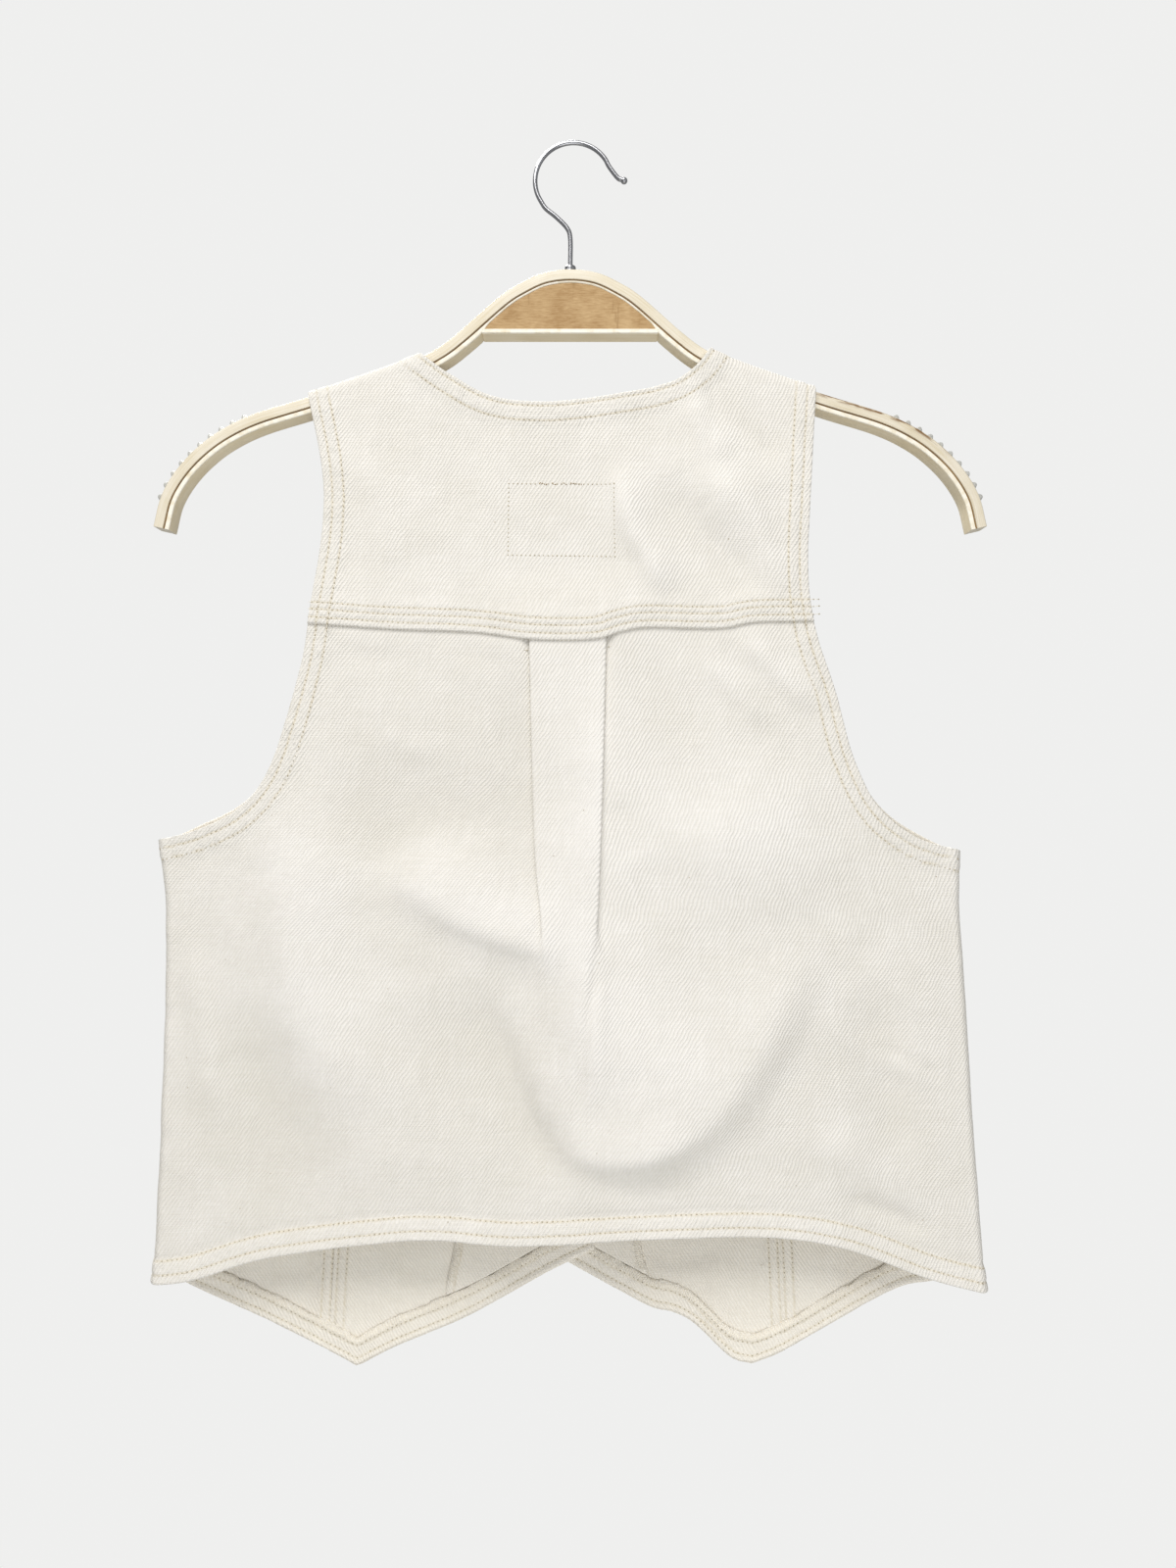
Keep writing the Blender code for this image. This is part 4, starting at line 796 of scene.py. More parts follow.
def makeStitchTree():
    tree = bpy.data.node_groups.new("stitches along rows", "GeometryNodeTree")
    sockets = tree.interface
    sockets.new_socket("Geometry", in_out="INPUT", socket_type="NodeSocketGeometry")
    for name, value in (("Pitch", 0.0026), ("Length", 0.0021), ("Thread", 0.00034), ("Turn", 0.0),
                        ("Jitter", 0.1), ("Shift", 0.0)):
        socket = sockets.new_socket(name, in_out="INPUT", socket_type="NodeSocketFloat")
        socket.default_value = value
    sockets.new_socket("Seed", in_out="INPUT", socket_type="NodeSocketInt")
    sockets.new_socket("Thread Material", in_out="INPUT", socket_type="NodeSocketMaterial")
    sockets.new_socket("Geometry", in_out="OUTPUT", socket_type="NodeSocketGeometry")
    start = addNode(tree, "NodeGroupInput")
    rows = addNode(tree, "GeometryNodeMeshToCurve", {"Mesh": start.outputs["Geometry"]})
    spaced = addNode(tree, "GeometryNodeResampleCurve", {"Curve": rows.outputs["Curve"],
                                                         "Length": start.outputs["Pitch"]}, mode="LENGTH")
    tangent = addNode(tree, "GeometryNodeInputTangent").outputs[0]
    away = addNode(tree, "GeometryNodeInputNamedAttribute", {"Name": "away"},
                   data_type="FLOAT_VECTOR").outputs[0]
    ahead = addNode(tree, "FunctionNodeAlignRotationToVector", {"Vector": tangent}, axis="X")
    upright = addNode(tree, "FunctionNodeAlignRotationToVector",
                      {"Rotation": ahead.outputs[0], "Vector": away}, axis="Z", pivot_axis="X")
    least = addNode(tree, "ShaderNodeMath", {0: start.outputs["Turn"], 1: start.outputs["Jitter"]},
                    operation="SUBTRACT")
    most = addNode(tree, "ShaderNodeMath", {0: start.outputs["Turn"], 1: start.outputs["Jitter"]},
                   operation="ADD")
    turn = addNode(tree, "FunctionNodeRandomValue", {2: least.outputs[0], 3: most.outputs[0],
                                                     "Seed": start.outputs["Seed"]}, data_type="FLOAT")
    axisTurn = addNode(tree, "ShaderNodeCombineXYZ", {2: turn.outputs[1]})
    turned3d = addNode(tree, "FunctionNodeEulerToRotation", {0: axisTurn.outputs[0]})
    whole = addNode(tree, "FunctionNodeRotateRotation", {"Rotation": upright.outputs[0],
                                                         "Rotate By": turned3d.outputs[0]},
                    rotation_space="LOCAL")
    bead = addNode(tree, "GeometryNodeMeshUVSphere", {"Segments": 6, "Rings": 4, "Radius": 0.5})
    shape = addNode(tree, "ShaderNodeCombineXYZ", {0: start.outputs["Length"], 1: start.outputs["Thread"],
                                                   2: start.outputs["Thread"]})
    sized = addNode(tree, "GeometryNodeTransform",
                    {"Geometry": bead.outputs["Mesh"], "Scale": shape.outputs[0]})
    scale = addNode(tree, "FunctionNodeRandomValue", {2: 0.85, 3: 1.1, "Seed": start.outputs["Seed"]},
                    data_type="FLOAT")
    placed = addNode(tree, "GeometryNodeInstanceOnPoints", {"Points": spaced.outputs[0],
                                                            "Instance": sized.outputs[0],
                                                            "Rotation": whole.outputs[0],
                                                            "Scale": scale.outputs[1]})
    shift = addNode(tree, "ShaderNodeCombineXYZ", {0: start.outputs["Shift"]})
    moved = addNode(tree, "GeometryNodeTranslateInstances", {"Instances": placed.outputs[0],
                                                             "Translation": shift.outputs[0],
                                                             "Local Space": True})
    real = addNode(tree, "GeometryNodeRealizeInstances", {"Geometry": moved.outputs[0]})
    smooth = addNode(tree, "GeometryNodeSetShadeSmooth", {"Geometry": real.outputs[0]})
    coloured = addNode(tree, "GeometryNodeSetMaterial", {"Geometry": smooth.outputs[0],
                                                         "Material": start.outputs["Thread Material"]})
    addNode(tree, "NodeGroupOutput", {"Geometry": coloured.outputs[0]})
    return tree


stitchTree = makeStitchTree()


def setInputs(modifier, values):
    for item in modifier.node_group.interface.items_tree:
        if item.item_type == "SOCKET" and item.in_out == "INPUT" and item.name in values:
            modifier[item.identifier] = values[item.name]


def plainMesh(made, name):
    # the evaluated result as a mesh of its own, with nothing left to evaluate
    evaluated = made.evaluated_get(bpy.context.evaluated_depsgraph_get())
    mesh = bpy.data.meshes.new_from_object(evaluated)
    made.modifiers.clear()
    old = made.data
    made.data = mesh
    mesh.name = name
    bpy.data.meshes.remove(old)
    return made


def rowPoints(piece, curve, side=1.0, spacing=1.6, sink=0.05):
    # a sewn row as points on the cloth's outer side (side 1) or inner side (side -1)
    run = runOf(curve)[-1]
    line = along(curve, np.linspace(0.0, 1.0, max(3, int(run / spacing))))
    x, z = line[:, 0], line[:, 1]
    y, half, _, _ = clothSurface(piece, x, z)
    gap = 0.6
    slopeX = (clothSurface(piece, x + gap, z)[0] - clothSurface(piece, x - gap, z)[0]) / (2.0 * gap)
    slopeZ = (clothSurface(piece, x, z + gap)[0] - clothSurface(piece, x, z - gap)[0]) / (2.0 * gap)
    away = np.stack([-slopeX, np.ones(len(x)), -slopeZ], -1) * piece["out"] * side
    away /= np.linalg.norm(away, axis=1)[:, None]
    points = np.stack([x, y, z], -1) + away * (half - sink)[:, None]
    return points, away


def sewRows(name, rows, seed, material=None, **values):
    # rows: a list of (points, away); the whole becomes one mesh of thread
    points, away, edges, first = [], [], [], 0
    for rowLine, rowAway in rows:
        points.append(rowLine)
        away.append(rowAway)
        edges += [(first + n, first + n + 1) for n in range(len(rowLine) - 1)]
        first += len(rowLine)
    mesh = bpy.data.meshes.new(name)
    mesh.from_pydata([tuple(point) for point in np.concatenate(points) * mm], edges, [])
    mesh.attributes.new("away", "FLOAT_VECTOR", "POINT").data.foreach_set(
        "vector", np.concatenate(away).astype(np.float32).ravel())
    made = bpy.data.objects.new(name, mesh)
    bpy.context.scene.collection.objects.link(made)
    sewing = made.modifiers.new("sewing", "NODES")
    sewing.node_group = stitchTree
    setInputs(sewing, {"Seed": seed, "Thread Material": material or thread, **values})
    plainMesh(made, name)
    print("sewn:", name, len(made.data.polygons), "faces")
    return made


needle = {"length": 0.95, "width": 0.8, "shift": 1.3}


def sewSeams(name, rows, seed):
    # lockstitch rows: the thread, and between its stitches the shaded holes it goes down into
    sewn = sewRows(name + "Sewing", rows, seed)
    holes = sewRows(name + "Holes", rows, seed, hole, Length=needle["length"] * mm,
                    Thread=needle["width"] * mm, Shift=needle["shift"] * mm)
    return [sewn, holes]


def keepPiece(made, node, sewing=()):
    # attach the piece and its sewing to the root body, and hide its solid
    for item in [made, *sewing]:
        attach(item, "root")
    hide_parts(node)
    print("cloth:", made.name, len(made.data.polygons), "faces")


# how thick and drawn in the cloth is along the edges and seams that come more than once
turnedEdge = {"width": 10.8, "extra": 0.45}
princessSeam = {"width": 8.0, "extra": 0.5, "pucker": 0.22}
frontHem = {"width": 3.0, "extra": 0.3, "pucker": 0.22}
shoulderPoints = 24


def shoulderBetween(start, end):
    return np.array([(x, shoulderAt(x)) for x in np.linspace(start, end, shoulderPoints)])


# the yoke

yoke = {"cut": (262.0, 152.0, 0.8), "pitch": 2.0, "band": 12.2, "seamRows": (3.4, 7.5, 11.0),
        "armRows": (4.6, 10.4), "neckRows": (2.5, 10.0), "bandFade": 26.0, "pleat": (-20.3, 18.0),
        "pleatSlope": 7.0, "rest": 1.35, "label": (-31.4, 22.7, -178.5, -216.1),
        "threadEnds": ((-15.5, 3.4), (-9.0, 1.4), (-3.2, 1.2), (0.6, 5.2))}


def yokeDepth(x, z):
    # the seam band lies on the panel: a layer above it, and higher where the pleat is under it
    above = z - heightAt(seamLine, x)
    band = 1.0 - smoothStep(yoke["band"] - 4.0, yoke["band"] + yoke["bandFade"], above)
    away = np.maximum(yoke["pleat"][0] - x, x - yoke["pleat"][1])
    beside = np.where(away < panel["shoulderRoll"][1], panel["shoulderRise"],
                      pleatShoulder(away, form["yokeSeam"][3][1]))
    pleat = beside + (4.0 * panel["pleatTurn"] - beside) * (1.0 - smoothStep(0.0, yoke["pleatSlope"], away))
    return backY(x, z, band * (yoke["rest"] + pleat))


def makeYoke():
    left = cutHeights(armLeft, armLeft[0][1], heightAt(seamLine, form["armLeft"][3][0]))
    right = cutHeights(armRight, armRight[0][1], heightAt(seamLine, form["armRight"][3][0]))
    shoulderLeft = shoulderBetween(left[0][0], neckLine[0][0])
    shoulderRight = shoulderBetween(neckLine[-1][0], right[0][0])
    top = np.vstack([shoulderLeft, neckLine[1:-1], shoulderRight])
    seam = seamLine.copy()
    seam[0], seam[-1] = left[-1], right[-1]
    run = runOf(top)
    neckStart, neckEnd = run[shoulderPoints - 1], run[-shoulderPoints]
    third = graded(neckStart, yoke["pitch"], bandSteps, plainSteps) * neckStart
    neckWidth = neckEnd - neckStart
    middle = graded(neckWidth, yoke["pitch"], neckSteps, neckSteps) * neckWidth
    last = graded(run[-1] - neckEnd, yoke["pitch"], plainSteps, bandSteps) * (run[-1] - neckEnd)
    across = np.concatenate([third, neckStart + middle[1:], neckEnd + last[1:]]) / run[-1]
    down = graded(120.0, yoke["pitch"], bandSteps, bandSteps)
    flat = patch(along(top, across), along(seam, across), along(left, down), along(right, down), across, down)
    piece = {"depth": yokeDepth, "out": -1.0, "bands": [
        {"curve": seamLine, "rows": yoke["seamRows"], "width": yoke["band"], "extra": 0.25, "pucker": 0.1},
        {"curve": left, "rows": yoke["armRows"], **turnedEdge, "pucker": 0.26},
        {"curve": right, "rows": yoke["armRows"], **turnedEdge, "pucker": 0.26},
        {"curve": neckLine, "rows": yoke["neckRows"], "width": 10.4, "extra": 0.45, "pucker": 0.34},
    ]}
    made = clothShell("backYoke", piece, flat, foldShade=foldShadeShare(flat[..., 0], flat[..., 1], 0.0))
    rows = [offsetCurve(seamLine, -at) for at in yoke["seamRows"]]
    rows += [offsetCurve(left[2:], -at) for at in yoke["armRows"]]
    rows += [offsetCurve(right[2:], at) for at in yoke["armRows"]]
    rows += [offsetCurve(neckLine, at)[2:-2] for at in yoke["neckRows"]]
    sewn = sewSeams("backYoke", [rowPoints(piece, row) for row in rows], 1)
    # the holes that a removed tab's stitches left: a rectangle, uneven
    left, right, head, foot = yoke["label"]
    corners = [(left, head), (right, head - 0.6), (right + 0.3, foot), (left - 0.4, foot + 0.8), (left, head)]
    frayed = [rowPoints(piece, np.array([start, end])) for start, end in zip(corners[:-1], corners[1:])]
    sewn.append(sewRows("removedTabHoles", frayed, 8, hole, Pitch=0.0022, Length=0.001, Thread=0.0007,
                        Jitter=0.9))
    ends = [rowPoints(piece, np.array([(x, head + 0.2), (x + run, head - 0.5)]))
            for x, run in yoke["threadEnds"]]
    sewn.append(sewRows("removedTabThreadEnds", ends, 14, threadEnd, Pitch=0.0011, Length=0.0013,
                        Thread=0.0006, Jitter=1.2))
    keepPiece(made, "back_yoke", sewn)


# the back panel with its box pleat

panel = {"cut": (480.0, 353.0, 0.85), "shoulderRoll": (0.3, 2.8, 36.0), "shoulderFade": (-345.0, -262.0),
         "shoulderRise": 2.3, "pitch": 2.5, "pleatTurn": 0.8, "pleatSide": 14.0, "pleatInside": 5.0,
         "bandHeight": 10.0, "armRows": (4.6, 10.4), "hemRows": (4.4, 10.8),
         "tacks": (((-24.5, -264.2), (-20.6, -264.6)), ((18.4, -263.0), (22.6, -262.2))),
         "pleatLeft": ((-20.7, -240.0), (-20.3, -262.0), (-17.7, -361.0), (-13.7, -405.0), (-11.0, -470.0),
                       (-10.0, -600.0)),
         "pleatRight": ((18.2, -240.0), (18.0, -262.0), (15.2, -363.0), (12.2, -423.0), (6.0, -500.0),
                        (2.0, -600.0)),
         # z, reach of the cloth under the edge, share opened out, height of the step kept, width of the step
         "pleatRows": ((-240.0, 13.0, 0.0, 1.0, 10.0), (-330.0, 10.0, 0.0, 1.0, 10.0),
                       (-375.0, 4.0, 0.0, 1.0, 10.0), (-395.0, 1.9, 0.0, 1.0, 10.0),
                       (-425.0, 1.9, 1.0, 1.0, 14.0), (-480.0, 1.9, 1.0, 0.3, 19.0),
                       (-520.0, 1.9, 1.0, 0.0, 19.0), (-600.0, 1.9, 1.0, 0.0, 19.0))}


def pleatColumns(z):
    heights = [row[0] for row in panel["pleatRows"][::-1]]
    reach, opened, kept, width = (np.interp(z, heights, [row[index] for row in panel["pleatRows"][::-1]])
                                  for index in (1, 2, 3, 4))
    turn, side, inside = panel["pleatTurn"], panel["pleatSide"], panel["pleatInside"]
    start, middle = turn - reach + 0.4, -turn
    folded = [(place, 0.0) for place in np.linspace(side, start, 9)]
    for centre, way, foot in ((turn - reach, -1.0, 0.0), (middle, 1.0, 2.0 * turn)):
        for angle in np.linspace(0.0, 180.0, 7):
            bend = math.radians(angle)
            folded.append((centre + way * turn * math.sin(bend), foot + turn * (1.0 - math.cos(bend))))
    folded += [(place, 4.0 * turn) for place in np.linspace(-turn - 1.2, -inside, 3)]
    folded = np.array(folded)
    out = np.linspace(side, -inside, len(folded))
    half = 0.5 * min(width, side + inside)
    centre = 0.5 * (side - inside)
    rise = 4.0 * turn * (1.0 - smoothStep(centre - half, centre + half, out))
    mixed = folded * (1.0 - opened) + np.stack([out, rise], -1) * opened
    return mixed[:, 0], mixed[:, 1] * kept


def pleatShoulder(away, height):
    # beside the pleat the cloth rolls up to about the pleat's own height, most of all at its top
    start, full, end = panel["shoulderRoll"]
    fade = smoothStep(*panel["shoulderFade"], height)
    return panel["shoulderRise"] * fade * smoothStep(start, full, away) * (1.0 - smoothStep(full, end, away))


def makeBackPanel():
    top = seamLine + np.array([0.0, panel["bandHeight"] - 1.0])
    left = cutHeights(armLeft, top[0][1], armLeft[-1][1])
    right = cutHeights(armRight, top[-1][1], armRight[-1][1])
    top[0], top[-1] = left[0], right[0]
    armLength, sideLength, armpit = runOf(left)[-1], runOf(sideLeft)[-1], 0.4
    upper = graded(armLength, panel["pitch"], plainSteps, plainSteps) * armpit
    lower = armpit + graded(sideLength, panel["pitch"], plainSteps, bandSteps) * (1.0 - armpit)
    down = np.concatenate([upper, lower[1:]])
    across = np.linspace(0.0, 1.0, 200)
    rows = patch(along(top, across), along(backHem, across), alongTwo(left, sideLeft, armpit, down),
                 alongTwo(right, sideRight, armpit, down), across, down)
    foldLeft, foldRight = smoothCurve(panel["pleatLeft"]), smoothCurve(panel["pleatRight"])
    sideShares = graded(165.0, panel["pitch"], bandSteps, plainSteps)
    flat, lifts = [], []
    for row in rows:
        height = heightAt(row, 0.0)
        out, rise = pleatColumns(height)
        edgeLeft, edgeRight = xAt(foldLeft, height), xAt(foldRight, height)
        innerLeft, innerRight = edgeLeft - panel["pleatSide"] - 1.0, edgeRight + panel["pleatSide"] + 1.0
        x = np.concatenate([
            row[0][0] + sideShares * (innerLeft - row[0][0]), edgeLeft - out,
            np.linspace(edgeLeft + panel["pleatInside"], edgeRight - panel["pleatInside"], 10)[1:-1],
            edgeRight + out[::-1], (row[-1][0] + sideShares * (innerRight - row[-1][0]))[::-1]])
        flat.append(np.stack([x, heightAt(row, x)], -1))
        sides = [pleatShoulder(edgeLeft - x[:len(sideShares)], height),
                 pleatShoulder(x[-len(sideShares):] - edgeRight, height)]
        folds = rise + pleatShoulder(out, height)
        lifts.append(np.concatenate([sides[0], folds, np.full(8, rise[-1]), folds[::-1], sides[1]]))
    piece = {"depth": backY, "out": -1.0, "bands": [
        {"curve": backHem, "rows": panel["hemRows"], "width": 11.6, "extra": 0.5, "pucker": 0.24, "wave": 7.0,
         "flare": 3.4, "dip": 0.8},
        {"curve": left, "rows": panel["armRows"], **turnedEdge, "pucker": 0.3},
        {"curve": right, "rows": panel["armRows"], **turnedEdge, "pucker": 0.3},
        {"curve": sideLeft, "rows": (), "width": 2.0, "extra": 0.0, "pucker": 0.6, "wave": 9.0},
        {"curve": sideRight, "rows": (), "width": 2.0, "extra": 0.0, "pucker": 0.5, "wave": 9.0},
    ]}
    flat, lifts = np.array(flat), np.array(lifts)
    made = clothShell("backPanel", piece, flat, lifts, foldShade=foldShadeShare(flat[..., 0], flat[..., 1], lifts))
    rows = [offsetCurve(backHem, -at)[2:-2] for at in panel["hemRows"]]
    rows += [offsetCurve(left, -at)[4:-1] for at in panel["armRows"]]
    rows += [offsetCurve(right, at)[4:-1] for at in panel["armRows"]]
    sewn = sewSeams("backPanel", [rowPoints(piece, row) for row in rows], 2)
    # a few stitches across the top of each fold hold the pleat, drawn dark in the needle holes' painted shade
    tacks = [rowPoints(piece, np.array(tack)) for tack in panel["tacks"]]
    tacks = [(points - np.array([0.0, 1.6, 0.0]), away) for points, away in tacks]
    sewn.append(sewRows("pleatTacks", tacks, 9, hole, Pitch=0.0012, Length=0.0013, Thread=0.0005))
    keepPiece(made, "back_panel", sewn)


# the yoke's seam band lies on the panel, so both are made once both are described
makeYoke()
makeBackPanel()


# the fronts with their facings

fronts = {"sideCut": (106.0, 364.0, 0.72), "centreCut": (153.0, 530.0, 0.72),
          "hemFacingCut": (232.0, 16.0, 0.95),
          "facingCut": {"left": (119.0, 482.0, 0.55), "right": (119.0, 482.0, 0.42)}, "neckShare": 0.36,
          "pitch": 3.0, "necklineFoot": -286.0, "closing": {"left": 12.5, "right": -9.0},
          "overlap": (16.0, 74.0), "armholeStep": 3.0, "join": -0.3, "press": 0.75, "pressWidth": 3.0,
          "stepTop": -200.0, "stepGrowth": 70.0, "stepEnd": 25.0, "hemFacing": 16.0, "facingInset": 1.5,
          "facingSide": 10.0, "armRows": (4.6, 10.4), "neckRows": (2.5, 10.0), "hemRows": (4.4, 13.0),
          "seamRows": (1.8, 6.4),
          "hemLeft": (((-215.5, -589.0), (-182.0, -605.0), (-150.0, -620.0), (-112.5, -640.0)),
                      ((-112.5, -640.0), (-92.0, -629.5), (-54.0, -613.5), (-12.0, -590.5), (12.5, -578.5))),
          "hemRight": (((214.5, -593.5), (190.0, -594.5), (166.0, -601.0), (115.0, -630.5), (96.0, -638.6)),
                       ((96.0, -638.6), (84.0, -635.0), (66.0, -618.0), (54.0, -611.8), (40.0, -608.5),
                        (4.0, -589.5), (-9.0, -582.0))),
          "princessLeft": ((-137.0, -268.0), (-125.0, -380.0), (-121.0, -500.0), (-126.5, -632.5)),
          "princessRight": ((130.2, -268.0), (115.0, -380.0), (108.5, -500.0), (113.0, -631.5)),
          "facingLeft": ((-108.0, -119.5), (-66.0, -290.0), (-58.0, -430.0), (-60.5, -560.0),
                         (-66.0, -598.0)),
          "facingRight": ((102.0, -117.5), (46.0, -290.0), (38.0, -430.0), (36.0, -560.0), (43.0, -597.0))}


def frontEdges(side):
    left = side == "left"
    way = -1.0 if left else 1.0
    armhole = armLeft if left else armRight
    below = fronts["stepTop"] - armhole[:, 1]
    fromCorner = np.linalg.norm(armhole - armhole[-1], axis=1)
    share = smoothStep(0.0, fronts["stepGrowth"], below) * smoothStep(0.0, fronts["stepEnd"], fromCorner)
    armhole = armhole + fronts["armholeStep"] * share[:, None] * np.array([way, 0.8])
    princess = smoothCurve(fronts["princessLeft" if left else "princessRight"])
    outerHem, innerHem = (smoothCurve(points) for points in fronts["hemLeft" if left else "hemRight"])
    hem = np.vstack([outerHem, innerHem[1:]])
    upperArm = cutHeights(armhole, armhole[0][1], princess[0][1])
    princess[0] = upperArm[-1]
    neckX = neckLine[0][0] if left else neckLine[-1][0]
    neckPoint = np.array([neckX, shoulderAt(neckX)])
    neckFoot = np.array([fronts["closing"][side], fronts["necklineFoot"]])
    neckline = smoothCurve([neckPoint, 0.5 * (neckPoint + neckFoot) + np.array([-5.0 * way, -6.0]), neckFoot])
    return {"way": way, "upperArm": upperArm, "underArm": cutHeights(armhole, princess[0][1], armhole[-1][1]),
            "sideSeam": sideLeft if left else sideRight, "princess": princess, "hem": hem,
            "split": np.argmin(np.linalg.norm(hem - princess[-1], axis=1)), "neckline": neckline,
            "facing": smoothCurve(fronts["facingLeft" if left else "facingRight"])}


def frontDepth(side, lift=0.0):
    # the right front lies out over the left one
    start, end = fronts["overlap"]
    return lambda x, z: frontY(x, z, lift + (0.0 if side == "left" else
                                             2.0 * form["layer"] * (1.0 - smoothStep(start, end, x))))


def pressedDepth(side, edge):
    # a facing lies inside its front, and closest to it along the free edge
    inside = frontDepth(side, -form["layer"])

    def depth(x, z):
        near = 1.0 - smoothStep(0.0, fronts["pressWidth"], nearestOn(edge, x, z)[0])
        return inside(x, z) + fronts["press"] * near
    return depth


def makeSideFront(side, edges):
    princess, way = edges["princess"], edges["way"]
    width = abs(princess[-1][0] - edges["sideSeam"][-1][0])
    across = graded(width, fronts["pitch"], plainSteps, bandSteps)
    down = graded(250.0, fronts["pitch"], bandSteps, bandSteps)
    innerEdge = princess + np.array([fronts["join"] * way, 0.0])
    top = edges["underArm"][::-1].copy()
    top[-1] = innerEdge[0]
    foot = np.vstack([edges["hem"][:edges["split"]], innerEdge[-1]])
    flat = patch(along(top, across), along(foot, across), along(edges["sideSeam"], down),
                 along(innerEdge, down), across, down)
    piece = {"depth": frontDepth(side), "out": 1.0, "bands": [
        {"curve": top, "rows": fronts["armRows"], **turnedEdge, "pucker": 0.2},
        {"curve": foot, "rows": fronts["hemRows"][:1], **frontHem},
        {"curve": innerEdge, "rows": fronts["seamRows"], **princessSeam},
    ]}
    name = side.capitalize()
    made = clothShell("sideFront" + name, piece, flat)
    hemRow = offsetCurve(foot, way * fronts["hemRows"][0])[2:-2]
    armRows = [offsetCurve(top, -way * at)[2:-4] for at in fronts["armRows"]]
    seamRows = [innerEdge[4:-3] + np.array([way * at, 0.0]) for at in fronts["seamRows"]]
    rows = [rowPoints(piece, row) for row in armRows + seamRows + [hemRow]]
    rows += [rowPoints(piece, row, side=-1.0) for row in seamRows]
    sewn = sewSeams("sideFront" + name, rows, 3)
    keepPiece(made, "side_front_" + side, sewn)


buttons = {"top": -305.0, "pitch": 64.0, "count": 5, "x": 1.7, "holeStart": -3.0, "holeEnd": 15.0,
           "holeHalf": 1.3,
           "profile": ((0.0, 2.35), (1.6, 2.4), (2.4, 2.75), (3.2, 2.8), (3.9, 2.5), (5.2, 2.5), (5.9, 2.75),
                       (6.6, 3.1), (7.2, 3.15), (7.7, 2.85), (7.95, 2.3), (7.8, 1.8), (7.2, 1.4), (5.2, 1.1),
                       (2.6, 1.0), (2.4, 0.0), (0.0, 0.0))}


def sewButtonholes(piece):
    # dense stitches round each buttonhole, which runs out from the button's shank
    rows = []
    for number in range(buttons["count"]):
        z = buttons["top"] - number * buttons["pitch"]
        for way in (-1.0, 1.0):
            line = [(buttons["holeStart"], z + way * buttons["holeHalf"]),
                    (buttons["holeEnd"], z + way * buttons["holeHalf"])]
            rows.append(rowPoints(piece, np.array(line)))
    return sewRows("buttonholes", rows, 12, Pitch=0.00055, Length=0.0024, Thread=0.0005, Turn=1.5,
                   Jitter=0.12)


def makeCentreFront(side, edges):
    neckline, way = edges["neckline"], edges["way"]
    closing = np.array([neckline[-1], edges["hem"][-1]])
    outerEdge = edges["princess"] - np.array([fronts["join"] * way, 0.0])
    upper = edges["upperArm"].copy()
    upper[-1] = outerEdge[0]
    shoulder = shoulderBetween(upper[0][0], neckline[0][0])
    foot = np.vstack([outerEdge[-1], edges["hem"][edges["split"]:]])
    across = graded(125.0, fronts["pitch"], bandSteps, bandSteps)
    neckShare = fronts["neckShare"]
    upperRows = graded(runOf(upper)[-1], fronts["pitch"], [0, 0.12, 0.4, 1.2, 3.0, 6.0],
                       plainSteps) * neckShare
    lowerRows = neckShare + graded(320.0, fronts["pitch"], plainSteps, bandSteps) * (1.0 - neckShare)
    down = np.concatenate([upperRows, lowerRows[1:]])
    flat = patch(along(shoulder, across), along(foot, across), alongTwo(upper, outerEdge, neckShare, down),
                 alongTwo(neckline, closing, neckShare, down), across, down)
    piece = {"depth": frontDepth(side), "out": 1.0, "bands": [
        {"curve": upper, "rows": fronts["armRows"], **turnedEdge, "pucker": 0.18},
        {"curve": foot, "rows": fronts["hemRows"][:1], **frontHem},
        {"curve": outerEdge, "rows": fronts["seamRows"], **princessSeam},
        {"curve": neckline, "rows": fronts["neckRows"], "width": 3.2, "extra": 0.3, "pucker": 0.16},
        {"curve": closing, "rows": fronts["neckRows"][:1], "width": 3.2, "extra": 0.3, "pucker": 0.14},
    ]}
    name = side.capitalize()
    made = clothShell("centreFront" + name, piece, flat)
    armRows = [offsetCurve(upper[2:], way * at) for at in fronts["armRows"]]
    neckRows = [offsetCurve(neckline, -way * at)[3:-1] for at in fronts["neckRows"]]
    seamRows = [outerEdge[3:-3] - np.array([way * at, 0.0]) for at in fronts["seamRows"]]
    hemRow = offsetCurve(foot, way * fronts["hemRows"][0])[2:-2]
    closingRow = closing + np.array([way * fronts["neckRows"][0], 0.0])
    rows = [rowPoints(piece, row) for row in armRows + neckRows + seamRows + [hemRow, closingRow]]
    rows += [rowPoints(piece, row, side=-1.0) for row in seamRows]
    sewn = sewSeams("centreFront" + name, rows, 4)
    if side == "right":
        sewn.append(sewButtonholes(piece))
    keepPiece(made, "centre_front_" + side, sewn)


overlock = {"pitch": 1.15, "width": 4.4, "thread": 0.42, "reach": 2.4, "ragged": 0.9, "turn": 1.35}


def serge(name, rows, seed, jitter):
    # slanting stitches over a raw edge
    return sewRows(name + "Overlock", rows, seed, Pitch=overlock["pitch"] * mm, Length=overlock["width"] * mm,
                   Thread=overlock["thread"] * mm, Turn=overlock["turn"], Jitter=jitter)


